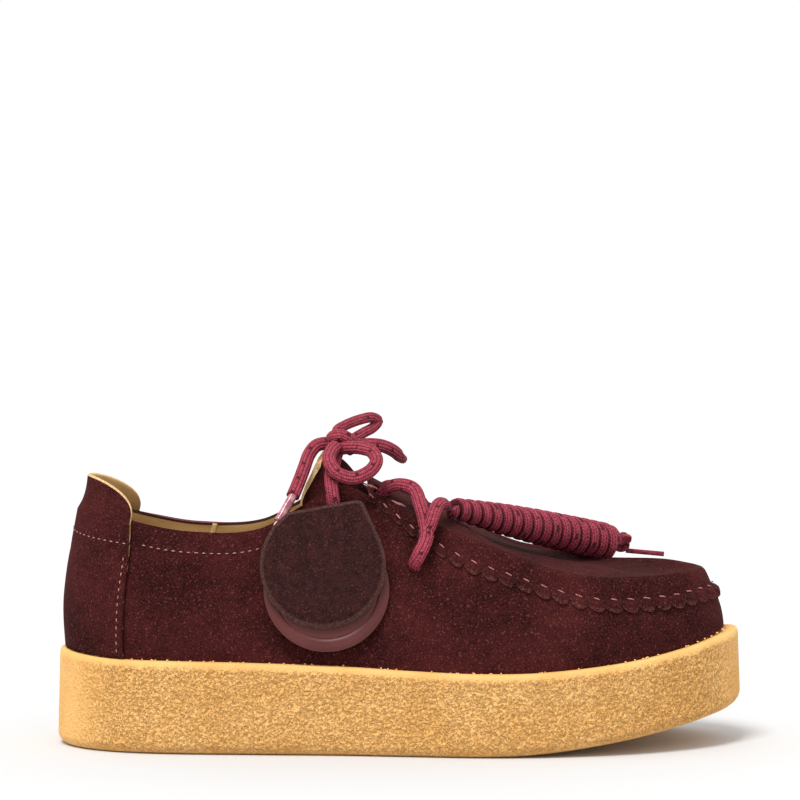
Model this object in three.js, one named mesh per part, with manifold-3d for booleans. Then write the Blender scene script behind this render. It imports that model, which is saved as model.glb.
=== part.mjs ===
// Right moccasin lace-up shoe in suede on a thick crepe sole.
// Millimetres, +Z up, toe towards +X, outer side of the foot towards -Y, floor at Z 0.
import * as THREE from 'three';
import { mergeVertices } from 'three/addons/utils/BufferGeometryUtils.js';
import Module from 'manifold-3d';

const wasm = await Module();
wasm.setup();

// Driving sizes of the shoe.
const SOLE_LENGTH = 290;
const BALL_WIDTH = 114;
const SOLE_HEIGHT = 41;
const TOE_SPRING = 16.5;
const INSTEP_HEIGHT = 116;
const UPPER_TOP_WIDTH = 86;

// The sole's side and lip.
const SOLE_EDGE_RADIUS = 5;
const SOLE_SIDE_LEAN = 2.5;
const LIP_BEVEL_WIDTH = 1.4;
const LIP_BEVEL_HEIGHT = 2.6;

// How far the upper stands in from the rim of the sole.
const SETBACK_SIDE = 3;
const SETBACK_TOE = 4.5;

// The upper's top edge starts and ends in from its foot by these.
const HEEL_LEAN = 5.4;
const TOE_LEAN = 5;
const HEEL_BULGE = 1.2;

// Material thicknesses and the gap that pieces keep.
const WALL = 2;
const INSOLE_THICKNESS = 4;
const TAB_THICKNESS = 1.6;
const TONGUE_THICKNESS = 2.4;
const CLEARANCE = 0.3;

// The plug: its raised lip, its throat edge and where its centre line ends.
const LIP_RUN = 6;
const THROAT_AT = 0.447;
const SPINE_END_AT = 0.86;

// Lace and eyelets.
const LACE_WIDTH = 5.6;
const LACE_HEIGHT = 4.4;
// Length of one step along a lace, and of the shorter ones of the spare hook.
const LACE_STEP = 11;
const HOOK_STEP = 8;
const EYELET_RADIUS = 3.6;

// Half the number of columns round the shoe.
const HALF_COLUMNS = 40;

// Sections of the sole from heel (at 0) to toe (at 1). Widths are shares of BALL_WIDTH to the
// outer (-) and inner (+) side, rim heights are shares of SOLE_HEIGHT, springs of TOE_SPRING.
const SOLE_SECTIONS = [
  { at: 0, outer: -0.026, inner: -0.026, rim: 1.0, spring: 0 },
  { at: 0.04, outer: -0.252, inner: 0.200, rim: 0.966, spring: 0 },
  { at: 0.1, outer: -0.350, inner: 0.298, rim: 0.944, spring: 0 },
  { at: 0.18, outer: -0.397, inner: 0.338, rim: 0.938, spring: 0 },
  { at: 0.28, outer: -0.415, inner: 0.350, rim: 0.927, spring: 0 },
  { at: 0.41, outer: -0.435, inner: 0.362, rim: 0.900, spring: 0 },
  { at: 0.52, outer: -0.471, inner: 0.412, rim: 0.860, spring: 0 },
  { at: 0.61, outer: -0.499, inner: 0.470, rim: 0.840, spring: 0 },
  { at: 0.7, outer: -0.494, inner: 0.501, rim: 0.850, spring: 0.07 },
  { at: 0.82, outer: -0.430, inner: 0.484, rim: 0.928, spring: 0.34 },
  { at: 0.92, outer: -0.292, inner: 0.386, rim: 1.050, spring: 0.66 },
  { at: 0.97, outer: -0.160, inner: 0.264, rim: 1.130, spring: 0.84 },
  { at: 1, outer: 0.053, inner: 0.053, rim: 1.180, spring: 1 },
];

// Sections of the upper's top edge: collar, facing and moccasin seam. Widths are shares of
// UPPER_TOP_WIDTH, heights are shares of INSTEP_HEIGHT, lips of LIP_HEIGHT.
const LIP_HEIGHT = 8;
const EDGE_SECTIONS = [
  { at: 0, outer: -0.035, inner: -0.035, outerTop: 0.862, innerTop: 0.862, lip: 0 },
  { at: 0.04, outer: -0.226, inner: 0.180, outerTop: 0.855, innerTop: 0.855, lip: 0 },
  { at: 0.1, outer: -0.330, inner: 0.300, outerTop: 0.818, innerTop: 0.818, lip: 0 },
  { at: 0.18, outer: -0.372, inner: 0.352, outerTop: 0.791, innerTop: 0.786, lip: 0 },
  { at: 0.28, outer: -0.356, inner: 0.345, outerTop: 0.799, innerTop: 0.795, lip: 0 },
  { at: 0.36, outer: -0.292, inner: 0.290, outerTop: 0.894, innerTop: 0.894, lip: 0.1 },
  { at: 0.41, outer: -0.240, inner: 0.240, outerTop: 0.950, innerTop: 0.950, lip: 0.1 },
  { at: 0.46, outer: -0.272, inner: 0.272, outerTop: 0.903, innerTop: 0.905, lip: 0.2 },
  { at: 0.52, outer: -0.375, inner: 0.362, outerTop: 0.804, innerTop: 0.812, lip: 0.55 },
  { at: 0.6, outer: -0.464, inner: 0.445, outerTop: 0.700, innerTop: 0.712, lip: 0.9 },
  { at: 0.7, outer: -0.497, inner: 0.503, outerTop: 0.618, innerTop: 0.606, lip: 1 },
  { at: 0.82, outer: -0.455, inner: 0.503, outerTop: 0.546, innerTop: 0.560, lip: 1 },
  { at: 0.92, outer: -0.310, inner: 0.400, outerTop: 0.545, innerTop: 0.566, lip: 1 },
  { at: 0.97, outer: -0.165, inner: 0.265, outerTop: 0.557, innerTop: 0.566, lip: 1 },
  { at: 1, outer: 0.05, inner: 0.05, outerTop: 0.561, innerTop: 0.561, lip: 1 },
];

// Height of the plug's centre line, as shares of INSTEP_HEIGHT, and depth of its dish in mm.
const SPINE_SECTIONS = [
  { at: 0.3, top: 1.22, dish: 0 },
  { at: 0.4, top: 1.06, dish: 0 },
  { at: 0.447, top: 0.982, dish: 0 },
  { at: 0.5, top: 0.914, dish: 0 },
  { at: 0.56, top: 0.858, dish: 0 },
  { at: 0.64, top: 0.742, dish: 0.5 },
  { at: 0.72, top: 0.664, dish: 1.5 },
  { at: 0.8, top: 0.622, dish: 2 },
  { at: 0.86, top: 0.610, dish: 2 },
];

// Each turn runs from 0 at the heel to 1 at the toe, with even steps round the two round ends.
const turnOf = (share) => Math.acos(1 - 2 * share) / Math.PI;
const shareOf = (turn) => (1 - Math.cos(Math.PI * turn)) / 2;

// One column of a table at a turn, on a smooth curve through its rows. Heights run level round
// both ends of the shoe.
const LEVEL_COLUMNS = ['rim', 'spring', 'outerTop', 'innerTop'];
function column(rows, name, turn) {
  const last = rows.length - 1;
  const place = rows.map((row) => turnOf(row.at));
  let k = 0;
  while (k < last - 1 && turn > place[k + 1]) k += 1;
  const slope = (j) => {
    if ((j === 0 || j === last) && LEVEL_COLUMNS.includes(name)) return 0;
    const a = Math.max(j - 1, 0);
    const b = Math.min(j + 1, last);
    return (rows[b][name] - rows[a][name]) / (place[b] - place[a]);
  };
  const span = place[k + 1] - place[k];
  const t = THREE.MathUtils.clamp((turn - place[k]) / span, 0, 1);
  const from = rows[k][name];
  const to = rows[k + 1][name];
  const ease = t * t * (3 - 2 * t);
  const pull = t * (1 - t) * span;
  return from + (to - from) * ease + pull * ((1 - t) * slope(k) - t * slope(k + 1));
}

const bySide = (side, outerName, innerName) => (side < 0 ? outerName : innerName);
const soleX = (turn) => SOLE_LENGTH * (shareOf(turn) - 0.5);
const rimHeight = (turn) => SOLE_HEIGHT * column(SOLE_SECTIONS, 'rim', turn);
const springHeight = (turn) => TOE_SPRING * Math.max(0, column(SOLE_SECTIONS, 'spring', turn));

// The loop round the shoe: column 0 at the heel, then the outer side, the toe and the inner side.
const COLUMNS = 2 * HALF_COLUMNS;
const LOOP = [];
for (let i = 0; i < COLUMNS; i += 1) {
  const side = i <= HALF_COLUMNS ? -1 : 1;
  const turn = side < 0 ? i / HALF_COLUMNS : (COLUMNS - i) / HALF_COLUMNS;
  LOOP.push({ side, turn });
}

// Outline of the sole in plan, and the same line moved inwards by an inset.
function soleEdge(side, turn) {
  const name = bySide(side, 'outer', 'inner');
  return new THREE.Vector2(soleX(turn), BALL_WIDTH * column(SOLE_SECTIONS, name, turn));
}

// A place past either end of the shoe belongs to the other side.
function aroundEnds(side, turn) {
  if (turn < 0) return { side: -side, turn: -turn };
  if (turn > 1) return { side: -side, turn: 2 - turn };
  return { side, turn };
}

function inwardOf(side, turn) {
  const step = 0.01;
  const ahead = aroundEnds(side, turn + step);
  const behind = aroundEnds(side, turn - step);
  const along = soleEdge(ahead.side, ahead.turn).sub(soleEdge(behind.side, behind.turn)).normalize();
  return new THREE.Vector2(-along.y, along.x).multiplyScalar(side < 0 ? 1 : -1);
}

function soleInset(side, turn, inset) {
  return soleEdge(side, turn).addScaledVector(inwardOf(side, turn), inset);
}

// The foot of the upper on the sole.
function setback(turn) {
  const toToe = THREE.MathUtils.smoothstep(turn, 0.75, 1);
  return THREE.MathUtils.lerp(SETBACK_SIDE, SETBACK_TOE, toToe);
}

function upperFoot(side, turn) {
  const plan = soleInset(side, turn, SOLE_SIDE_LEAN + setback(turn));
  return new THREE.Vector3(plan.x, plan.y, rimHeight(turn) + CLEARANCE);
}

const FOOT_HEEL_X = upperFoot(-1, 0).x;
const FOOT_TOE_X = upperFoot(-1, 1).x;
const EDGE_HEEL_X = FOOT_HEEL_X + HEEL_LEAN;
const EDGE_TOE_X = FOOT_TOE_X - TOE_LEAN;
const edgeX = (turn) => THREE.MathUtils.lerp(EDGE_HEEL_X, EDGE_TOE_X, shareOf(turn));

// The top edge of the upper's wall: the collar, the facing and the moccasin seam.
function upperEdge(side, turn) {
  const width = column(EDGE_SECTIONS, bySide(side, 'outer', 'inner'), turn);
  const top = column(EDGE_SECTIONS, bySide(side, 'outerTop', 'innerTop'), turn);
  return new THREE.Vector3(edgeX(turn), UPPER_TOP_WIDTH * width, INSTEP_HEIGHT * top);
}

// The wall between foot and edge; rise runs from 0 at the foot to 1 at the edge, and beyond it.
function wallPoint(side, turn, rise) {
  const foot = upperFoot(side, turn);
  const edge = upperEdge(side, turn);
  const toToe = THREE.MathUtils.smoothstep(turn, 0.7, 1);
  const power = THREE.MathUtils.lerp(2.3, 1.6, toToe);
  const lean = Math.pow(Math.max(rise, 0), power);
  const heel = 1 - THREE.MathUtils.smoothstep(turn, 0.05, 0.4);
  const bulge = HEEL_BULGE * heel * Math.sin(Math.PI * Math.min(1, Math.max(0, rise) * 1.4));
  const point = foot.clone().lerp(edge, lean);
  const out = new THREE.Vector2(foot.x - edge.x, foot.y - edge.y).normalize();
  point.x += out.x * bulge;
  point.y += out.y * bulge;
  point.z = THREE.MathUtils.lerp(foot.z, edge.z, rise);
  return point;
}

// The centre line of the plug, from the throat to the toe.
const THROAT_TURN = turnOf(THROAT_AT);
const SPINE_END_X = THREE.MathUtils.lerp(EDGE_HEEL_X, EDGE_TOE_X, SPINE_END_AT);
function spinePoint(turn) {
  const throatX = edgeX(THROAT_TURN);
  const share = (edgeX(turn) - throatX) / (EDGE_TOE_X - throatX);
  const x = THREE.MathUtils.lerp(throatX, SPINE_END_X, share);
  const spineTurn = turnOf((x - EDGE_HEEL_X) / (EDGE_TOE_X - EDGE_HEEL_X));
  const y = (upperEdge(-1, spineTurn).y + upperEdge(1, spineTurn).y) / 2;
  return new THREE.Vector3(x, y, INSTEP_HEIGHT * column(SPINE_SECTIONS, 'top', spineTurn));
}

// The plug between the seam (reach 0) and the centre line (reach 1).
function plugPoint(side, turn, reach) {
  const seam = upperEdge(side, turn);
  const spine = spinePoint(turn);
  const lip = LIP_HEIGHT * column(EDGE_SECTIONS, 'lip', turn);
  const dish = column(SPINE_SECTIONS, 'dish', turn) * Math.sin(Math.PI * reach);
  const run = Math.hypot(spine.x - seam.x, spine.y - seam.y) * reach;
  const roll = Math.sin((Math.PI / 2) * Math.min(1, run / LIP_RUN));
  const point = seam.clone().lerp(spine, reach);
  const crown = reach * reach * (3 - 2 * reach) * 0.35 + reach * (2 - reach) * 0.65;
  point.z = THREE.MathUtils.lerp(seam.z, spine.z - lip, crown) + lip * roll - dish;
  return point;
}

// The upper's outer surface: climb 0 to 1 is the wall, 1 to 2 the plug.
function upperPoint(side, turn, climb) {
  const place = aroundEnds(side, turn);
  if (climb <= 1) return wallPoint(place.side, place.turn, climb);
  return plugPoint(place.side, place.turn, climb - 1);
}

// A point held off the upper's outer surface.
function offUpper(side, turn, climb, lift) {
  const step = 0.012;
  const point = upperPoint(side, turn, climb);
  const along = upperPoint(side, turn + step, climb).sub(upperPoint(side, turn - step, climb));
  const low = climb > 1 ? Math.max(1, climb - step) : climb - step;
  const high = climb > 1 ? Math.min(2, climb + step) : climb + step;
  const up = upperPoint(side, turn, high).sub(upperPoint(side, turn, low));
  const out = along.cross(up).normalize().multiplyScalar(side < 0 ? 1 : -1);
  return point.addScaledVector(out, lift);
}

// Shape helpers.
function geometryFrom(points, faces) {
  const geometry = new THREE.BufferGeometry();
  const positions = points.flatMap((p) => [p.x, p.y, p.z]);
  geometry.setAttribute('position', new THREE.Float32BufferAttribute(positions, 3));
  geometry.setIndex(faces.flat());
  return geometry;
}

// Triangles across a loop of the shoe, from its outer side to its inner side.
function acrossLoop(first, upward) {
  const faces = [];
  const add = (a, b, c) => faces.push(upward ? [a, b, c] : [a, c, b]);
  const at = (i) => first + (i % COLUMNS);
  add(at(0), at(1), at(COLUMNS - 1));
  for (let i = 1; i < HALF_COLUMNS - 1; i += 1) {
    add(at(i), at(i + 1), at(COLUMNS - i - 1));
    add(at(i), at(COLUMNS - i - 1), at(COLUMNS - i));
  }
  add(at(HALF_COLUMNS - 1), at(HALF_COLUMNS), at(HALF_COLUMNS + 1));
  return faces;
}

// A solid lofted through rings round the shoe, from the lowest to the highest.
function loftRings(rings) {
  const points = rings.flat();
  const faces = acrossLoop(0, false);
  for (let k = 0; k + 1 < rings.length; k += 1) {
    for (let i = 0; i < COLUMNS; i += 1) {
      const a = k * COLUMNS + i;
      const b = k * COLUMNS + ((i + 1) % COLUMNS);
      faces.push([a, b, b + COLUMNS], [a, b + COLUMNS, a + COLUMNS]);
    }
  }
  faces.push(...acrossLoop((rings.length - 1) * COLUMNS, true));
  return geometryFrom(points, faces);
}

// A wall from an open sheet: its inner face lies one thickness behind it, and its edges close.
// The first level points keep their height.
function thicken(points, faces, thickness, level = 0) {
  const count = points.length;
  const normals = points.map(() => new THREE.Vector3());
  const edges = new Map();
  for (const [a, b, c] of faces) {
    const ab = points[b].clone().sub(points[a]);
    const normal = ab.cross(points[c].clone().sub(points[a]));
    for (const i of [a, b, c]) normals[i].add(normal);
    for (const [from, to] of [[a, b], [b, c], [c, a]]) edges.set(`${from} ${to}`, [from, to]);
  }
  const inner = points.map((p, i) => {
    const normal = normals[i];
    if (i < level) normal.z = 0;
    return p.clone().addScaledVector(normal.normalize(), -thickness);
  });
  const all = faces.concat(faces.map(([a, b, c]) => [a + count, c + count, b + count]));
  for (const [from, to] of edges.values()) {
    if (edges.has(`${to} ${from}`)) continue;
    all.push([to, from, from + count], [to, from + count, to + count]);
  }
  return geometryFrom(points.concat(inner), all);
}

// A sheet over a grid of rows and columns; its face looks along (next row) x (next column).
function gridFaces(rows, columns) {
  const faces = [];
  for (let r = 0; r + 1 < rows; r += 1) {
    for (let c = 0; c + 1 < columns; c += 1) {
      const a = r * columns + c;
      faces.push([a, a + columns, a + columns + 1], [a, a + columns + 1, a + 1]);
    }
  }
  return faces;
}

function toManifold(geometry) {
  const bare = geometry.index ? geometry.clone() : geometry;
  bare.deleteAttribute('normal');
  bare.deleteAttribute('uv');
  const merged = mergeVertices(bare, 1e-4);
  return new wasm.Manifold(new wasm.Mesh({
    numProp: 3,
    vertProperties: new Float32Array(merged.attributes.position.array),
    triVerts: new Uint32Array(merged.index.array),
  }));
}

function fromManifold(solid) {
  const mesh = solid.getMesh();
  const geometry = new THREE.BufferGeometry();
  geometry.setAttribute('position', new THREE.BufferAttribute(mesh.vertProperties, 3));
  geometry.setIndex(new THREE.BufferAttribute(mesh.triVerts, 1));
  return geometry;
}

// A length of lace along chosen points, with the flat oval section of the real one.
function lace(points, stepLength = LACE_STEP, width = LACE_WIDTH, height = LACE_HEIGHT) {
  const path = new THREE.CatmullRomCurve3(points, false, 'centripetal');
  const section = new THREE.Shape();
  const sides = 8;
  for (let k = 0; k < sides; k += 1) {
    const angle = ((k + 0.5) / sides) * 2 * Math.PI;
    const x = (height / 2) * Math.cos(angle);
    const y = (width / 2) * Math.sin(angle);
    if (k === 0) section.moveTo(x, y);
    else section.lineTo(x, y);
  }
  section.closePath();
  const steps = Math.max(6, Math.round(path.getLength() / stepLength));
  return new THREE.ExtrudeGeometry(section, { steps, bevelEnabled: false, extrudePath: path });
}

const vector = ([x, y, z]) => new THREE.Vector3(x, y, z);

// The sole: one moulded block, flat under heel and forefoot, with toe spring and a bevelled lip.
function makeSole() {
  const ring = (inset, heightOf) => LOOP.map(({ side, turn }) => {
    const plan = soleInset(side, turn, inset);
    return new THREE.Vector3(plan.x, plan.y, heightOf(turn));
  });
  const rings = [];
  for (const degrees of [0, 30, 60, 90]) {
    const angle = THREE.MathUtils.degToRad(degrees);
    const inset = SOLE_EDGE_RADIUS * (1 - Math.sin(angle));
    const lift = SOLE_EDGE_RADIUS * (1 - Math.cos(angle));
    rings.push(ring(inset, (turn) => springHeight(turn) + lift));
  }
  rings.push(ring(SOLE_SIDE_LEAN, (turn) => rimHeight(turn) - LIP_BEVEL_HEIGHT));
  rings.push(ring(SOLE_SIDE_LEAN + LIP_BEVEL_WIDTH, rimHeight));
  return loftRings(rings);
}

// The insole board with its cover, inside the upper's wall.
function makeInsole() {
  const inside = WALL + 3 * CLEARANCE;
  const ring = (lift) => LOOP.map(({ side, turn }) => {
    const foot = upperFoot(side, turn);
    const wall = wallPoint(side, turn, INSOLE_THICKNESS / (upperEdge(side, turn).z - foot.z));
    const inward = inwardOf(side, turn);
    return new THREE.Vector3(wall.x + inward.x * inside, wall.y + inward.y * inside, foot.z + lift);
  });
  return loftRings([ring(0), ring(INSOLE_THICKNESS)]);
}

// The upper's sheet: wall columns all round, and plug columns from the throat to the toe.
const WALL_CLIMBS = [0, 0.16, 0.34, 0.52, 0.7, 0.86, 1];
const PLUG_REACHES = [0.06, 0.13, 0.22, 0.45, 0.72];
function upperSheet() {
  const points = [];
  const faces = [];
  for (const climb of WALL_CLIMBS) {
    for (const { side, turn } of LOOP) points.push(wallPoint(side, turn, climb));
  }
  const rows = WALL_CLIMBS.length;
  for (let r = 0; r + 1 < rows; r += 1) {
    for (let i = 0; i < COLUMNS; i += 1) {
      const a = r * COLUMNS + i;
      const b = r * COLUMNS + ((i + 1) % COLUMNS);
      faces.push([a, b, b + COLUMNS], [a, b + COLUMNS, a + COLUMNS]);
    }
  }
  const first = Math.round(THROAT_TURN * HALF_COLUMNS);
  const last = COLUMNS - first;
  const spine = [];
  for (let i = first; i <= HALF_COLUMNS; i += 1) {
    spine.push(points.length);
    points.push(spinePoint(i / HALF_COLUMNS));
  }
  const ladder = (i) => {
    const { side, turn } = LOOP[i];
    const indices = [(rows - 1) * COLUMNS + i];
    for (const reach of PLUG_REACHES) {
      indices.push(points.length);
      points.push(plugPoint(side, turn, reach));
    }
    indices.push(spine[Math.min(i, COLUMNS - i) - first]);
    return indices;
  };
  let before = ladder(first);
  for (let i = first + 1; i <= last; i += 1) {
    const after = ladder(i);
    for (let k = 0; k + 1 < before.length; k += 1) {
      faces.push([before[k], after[k], after[k + 1]], [before[k], after[k + 1], before[k + 1]]);
    }
    before = after;
  }
  return { points, faces };
}

// The four punched eyelet holes, on the outer and inner side.
const EYELETS = [
  { name: 'lower', at: 0.522, climb: 0.74 },
  { name: 'upper', at: 0.403, climb: 0.84 },
];

// The slots that take the lower lace down through the plug, one on each side of its middle.
const SLOT_AT = 0.477;
const SLOT_CLIMB = 1.39;
const SLOT_LENGTH = LACE_WIDTH + 3.4;
const SLOT_REACH = 15;
function slotCutter(side) {
  const middle = upperPoint(side, turnOf(SLOT_AT), SLOT_CLIMB);
  const slot = new THREE.BoxGeometry(SLOT_LENGTH, SLOT_REACH, 8 * WALL);
  return toManifold(slot.translate(middle.x, middle.y, middle.z));
}

function holeCutter(side, { at, climb }) {
  const turn = turnOf(at);
  const outside = offUpper(side, turn, climb, 3 * WALL);
  const inside = offUpper(side, turn, climb, -3 * WALL);
  const cutter = new THREE.CylinderGeometry(EYELET_RADIUS, EYELET_RADIUS, 6 * WALL, 12);
  const axis = outside.clone().sub(inside).normalize();
  cutter.applyQuaternion(new THREE.Quaternion().setFromUnitVectors(new THREE.Vector3(0, 1, 0), axis));
  const middle = outside.add(inside).multiplyScalar(0.5);
  return toManifold(cutter.translate(middle.x, middle.y, middle.z));
}

function makeUpper() {
  const { points, faces } = upperSheet();
  let solid = toManifold(thicken(points, faces, WALL, COLUMNS));
  for (const eyelet of EYELETS) {
    for (const side of [-1, 1]) solid = solid.subtract(holeCutter(side, eyelet));
  }
  for (const side of [-1, 1]) solid = solid.subtract(slotCutter(side));
  return fromManifold(solid);
}

// The gathered moccasin seam: scallops that stand off the wall just below the plug's lip.
const SCALLOP_PITCH = 7.6;
const SCALLOP_DROP = 4.8;
const SCALLOP_STAND = 1.6;
const SEAM_START_AT = 0.44;
function makeSeam() {
  const startTurn = turnOf(SEAM_START_AT);
  const line = [];
  const fine = 600;
  for (let k = 0; k <= fine; k += 1) {
    const run = THREE.MathUtils.lerp(startTurn, 2 - startTurn, k / fine);
    line.push(run);
  }
  const spot = (run, climb, lift) => (run <= 1
    ? offUpper(-1, run, climb, lift) : offUpper(1, 2 - run, climb, lift));
  const lengths = [0];
  for (let k = 1; k <= fine; k += 1) {
    lengths.push(lengths[k - 1] + spot(line[k], 1, 0).distanceTo(spot(line[k - 1], 1, 0)));
  }
  const total = lengths[fine];
  const scallops = Math.round(total / SCALLOP_PITCH);
  const perScallop = 4;
  const rings = [];
  let k = 0;
  for (let j = 0; j <= scallops * perScallop; j += 1) {
    const goal = (total * j) / (scallops * perScallop);
    while (k < fine - 1 && lengths[k + 1] < goal) k += 1;
    const share = (goal - lengths[k]) / (lengths[k + 1] - lengths[k]);
    const run = THREE.MathUtils.lerp(line[k], line[k + 1], share);
    const swell = Math.sin((Math.PI * (j % perScallop)) / perScallop);
    const side = run <= 1 ? -1 : 1;
    const turn = run <= 1 ? run : 2 - run;
    const height = upperEdge(side, turn).z - upperFoot(side, turn).z;
    const drop = (SCALLOP_DROP * (0.62 + 0.38 * swell)) / height;
    const stand = SCALLOP_STAND * (0.55 + 0.45 * swell);
    rings.push([
      spot(run, 1, CLEARANCE),
      spot(run, 1 - drop * 0.5, CLEARANCE),
      spot(run, 1 - drop, CLEARANCE),
      spot(run, 1 - drop * 0.9, CLEARANCE + stand * 0.7),
      spot(run, 1 - drop * 0.4, CLEARANCE + stand),
      spot(run, 1 - drop * 0.04, CLEARANCE + stand * 0.6),
    ]);
  }
  const size = rings[0].length;
  const faces = [];
  for (let r = 0; r + 1 < rings.length; r += 1) {
    for (let c = 0; c < size; c += 1) {
      const a = r * size + c;
      const b = r * size + ((c + 1) % size);
      faces.push([a, b + size, b], [a, a + size, b + size]);
    }
  }
  for (let c = 1; c + 1 < size; c += 1) {
    const end = (rings.length - 1) * size;
    faces.push([0, c, c + 1], [end, end + c + 1, end + c]);
  }
  return geometryFrom(rings.flat(), faces);
}

// The heel tab: an overlay round the heel that stands up above the collar.
const TAB_TOP = 114;
const TAB_SHOULDER = 95;
const TAB_EDGE_AT = 0.098;
const TAB_SHOULDER_AT = 0.082;
const TAB_NARROWING = 4;
const TAB_SPREAD = 1.36;
const TAB_PINCH = 2.4;
const TAB_CLEARANCE = 0.9;
function tabPoint(across, up) {
  const side = across < 0 ? -1 : 1;
  const edgeTurn = turnOf(THREE.MathUtils.lerp(TAB_EDGE_AT, TAB_SHOULDER_AT, Math.pow(up, TAB_NARROWING)));
  const turn = Math.abs(across) * edgeTurn;
  const foot = upperFoot(side, turn);
  const edge = upperEdge(side, turn);
  const rounding = Math.pow(1 - Math.pow(Math.abs(across), 2.6), 1 / 2.2);
  const top = THREE.MathUtils.lerp(TAB_SHOULDER, TAB_TOP, rounding);
  const z = THREE.MathUtils.lerp(foot.z + CLEARANCE, top, up);
  const rise = (z - foot.z) / (edge.z - foot.z);
  const lift = TAB_CLEARANCE + TAB_THICKNESS;
  const point = offUpper(side, turn, Math.min(rise, 1), lift);
  if (rise > 1) {
    const above = z - edge.z;
    const inward = new THREE.Vector2(edge.x - foot.x, edge.y - foot.y).normalize();
    const lean = TAB_PINCH * (1 - Math.exp(-above / 5));
    point.x += inward.x * lean;
    point.y += inward.y * lean;
  }
  point.z = z;
  return point;
}

function makeHeelTab() {
  const ups = [0, 0.15, 0.3, 0.45, 0.6, 0.72, 0.82, 0.9, 0.96, 1];
  const columns = 19;
  const points = [];
  for (const up of ups) {
    for (let c = 0; c < columns; c += 1) {
      const angle = TAB_SPREAD * ((2 * c) / (columns - 1) - 1);
      points.push(tabPoint(Math.sin(angle) / Math.sin(TAB_SPREAD), up));
    }
  }
  return thicken(points, gridFaces(ups.length, columns), TAB_THICKNESS, columns);
}

// The tongue: a lined sheet that comes up from under the plug's rear edge. Its middle follows the
// plug's centre line; its edges fall back and down by the fall columns, as shares of INSTEP_HEIGHT.
const TONGUE_SECTIONS = [
  { at: 0.384, half: 0.180, back: 0.017, down: 0.068, below: 0.6 },
  { at: 0.4, half: 0.215, back: 0.060, down: 0.090, below: 0.8 },
  { at: 0.42, half: 0.245, back: 0.140, down: 0.135, below: 1.4 },
  { at: 0.444, half: 0.262, back: 0.160, down: 0.150, below: 5 },
  { at: 0.461, half: 0.262, back: 0.110, down: 0.120, below: 10 },
  { at: 0.5, half: 0.262, back: 0.060, down: 0.090, below: 10.6 },
];
function tonguePoint(at, across) {
  const value = (name) => column(TONGUE_SECTIONS, name, turnOf(at));
  const x = edgeX(turnOf(at));
  const middle = (upperEdge(-1, turnOf(at)).y + upperEdge(1, turnOf(at)).y) / 2;
  const z = INSTEP_HEIGHT * column(SPINE_SECTIONS, 'top', turnOf(at)) - value('below');
  const fall = Math.pow(Math.abs(across), 1.9) * INSTEP_HEIGHT;
  const y = middle + UPPER_TOP_WIDTH * value('half') * across;
  return new THREE.Vector3(x - fall * value('back'), y, z - fall * value('down'));
}

function offTongue(at, across, lift) {
  const step = 0.003;
  const along = tonguePoint(at + step, across).sub(tonguePoint(at - step, across));
  const aside = tonguePoint(at, across + 0.03).sub(tonguePoint(at, across - 0.03));
  return tonguePoint(at, across).addScaledVector(along.cross(aside).normalize(), lift);
}

function makeTongue() {
  const rows = 9;
  const columns = 13;
  const first = TONGUE_SECTIONS[0].at;
  const last = TONGUE_SECTIONS[TONGUE_SECTIONS.length - 1].at;
  const points = [];
  for (let r = 0; r < rows; r += 1) {
    const at = THREE.MathUtils.lerp(first, last, r / (rows - 1));
    for (let c = 0; c < columns; c += 1) points.push(tonguePoint(at, (2 * c) / (columns - 1) - 1));
  }
  return thicken(points, gridFaces(rows, columns), TONGUE_THICKNESS);
}

// The lace across the lower pair of eyelets: out of the hole, up over the seam, and through the
// slots to cross below the plug. Each row gives a place on the upper and how far the lace's
// middle is held off it.
const UNDER_PLUG = -(WALL + CLEARANCE + LACE_HEIGHT / 2);
const LOWER_BAR = [
  { at: 0.522, climb: 0.74, lift: -4 },
  { at: 0.522, climb: 0.745, lift: 2 },
  { at: 0.527, climb: 0.8, lift: 6.3 },
  { at: 0.537, climb: 0.95, lift: 5.4 },
  { at: 0.538, climb: 1.06, lift: 4.2 },
  { at: 0.53, climb: 1.13, lift: 4.2 },
  { at: 0.511, climb: 1.2, lift: 5.4 },
  { at: 0.494, climb: 1.25, lift: 4.6 },
  { at: SLOT_AT + 0.004, climb: 1.32, lift: 1.5 },
  { at: SLOT_AT, climb: 1.44, lift: -3.2 },
  { at: SLOT_AT, climb: 1.64, lift: UNDER_PLUG - 0.4 },
  { at: SLOT_AT, climb: 1.85, lift: UNDER_PLUG - 0.2 },
];
function makeLowerBar() {
  const half = (side) => LOWER_BAR.map((row) => offUpper(side, turnOf(row.at), row.climb, row.lift));
  return lace([...half(-1), ...half(1).reverse()], 7);
}

// The knot lies on the tongue.
const KNOT_AT = 0.398;
const KNOT_SIZE = new THREE.Vector3(6.6, 6, 4.8);
const knotMiddle = offTongue(KNOT_AT, -0.1, CLEARANCE + KNOT_SIZE.z + 0.5);
function makeKnot() {
  const knot = new THREE.SphereGeometry(1, 12, 8);
  knot.rotateX(Math.PI / 2);
  knot.scale(KNOT_SIZE.x, KNOT_SIZE.y, KNOT_SIZE.z);
  return knot.translate(knotMiddle.x, knotMiddle.y, knotMiddle.z);
}

// Where the way from the knot's middle to a point comes out of the knot, and a gap further.
function knotFace(toward) {
  const way = toward.clone().sub(knotMiddle);
  const inside = 1 / Math.hypot(way.x / KNOT_SIZE.x, way.y / KNOT_SIZE.y, way.z / KNOT_SIZE.z);
  return knotMiddle.clone().addScaledVector(way, inside + CLEARANCE / way.length());
}

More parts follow.
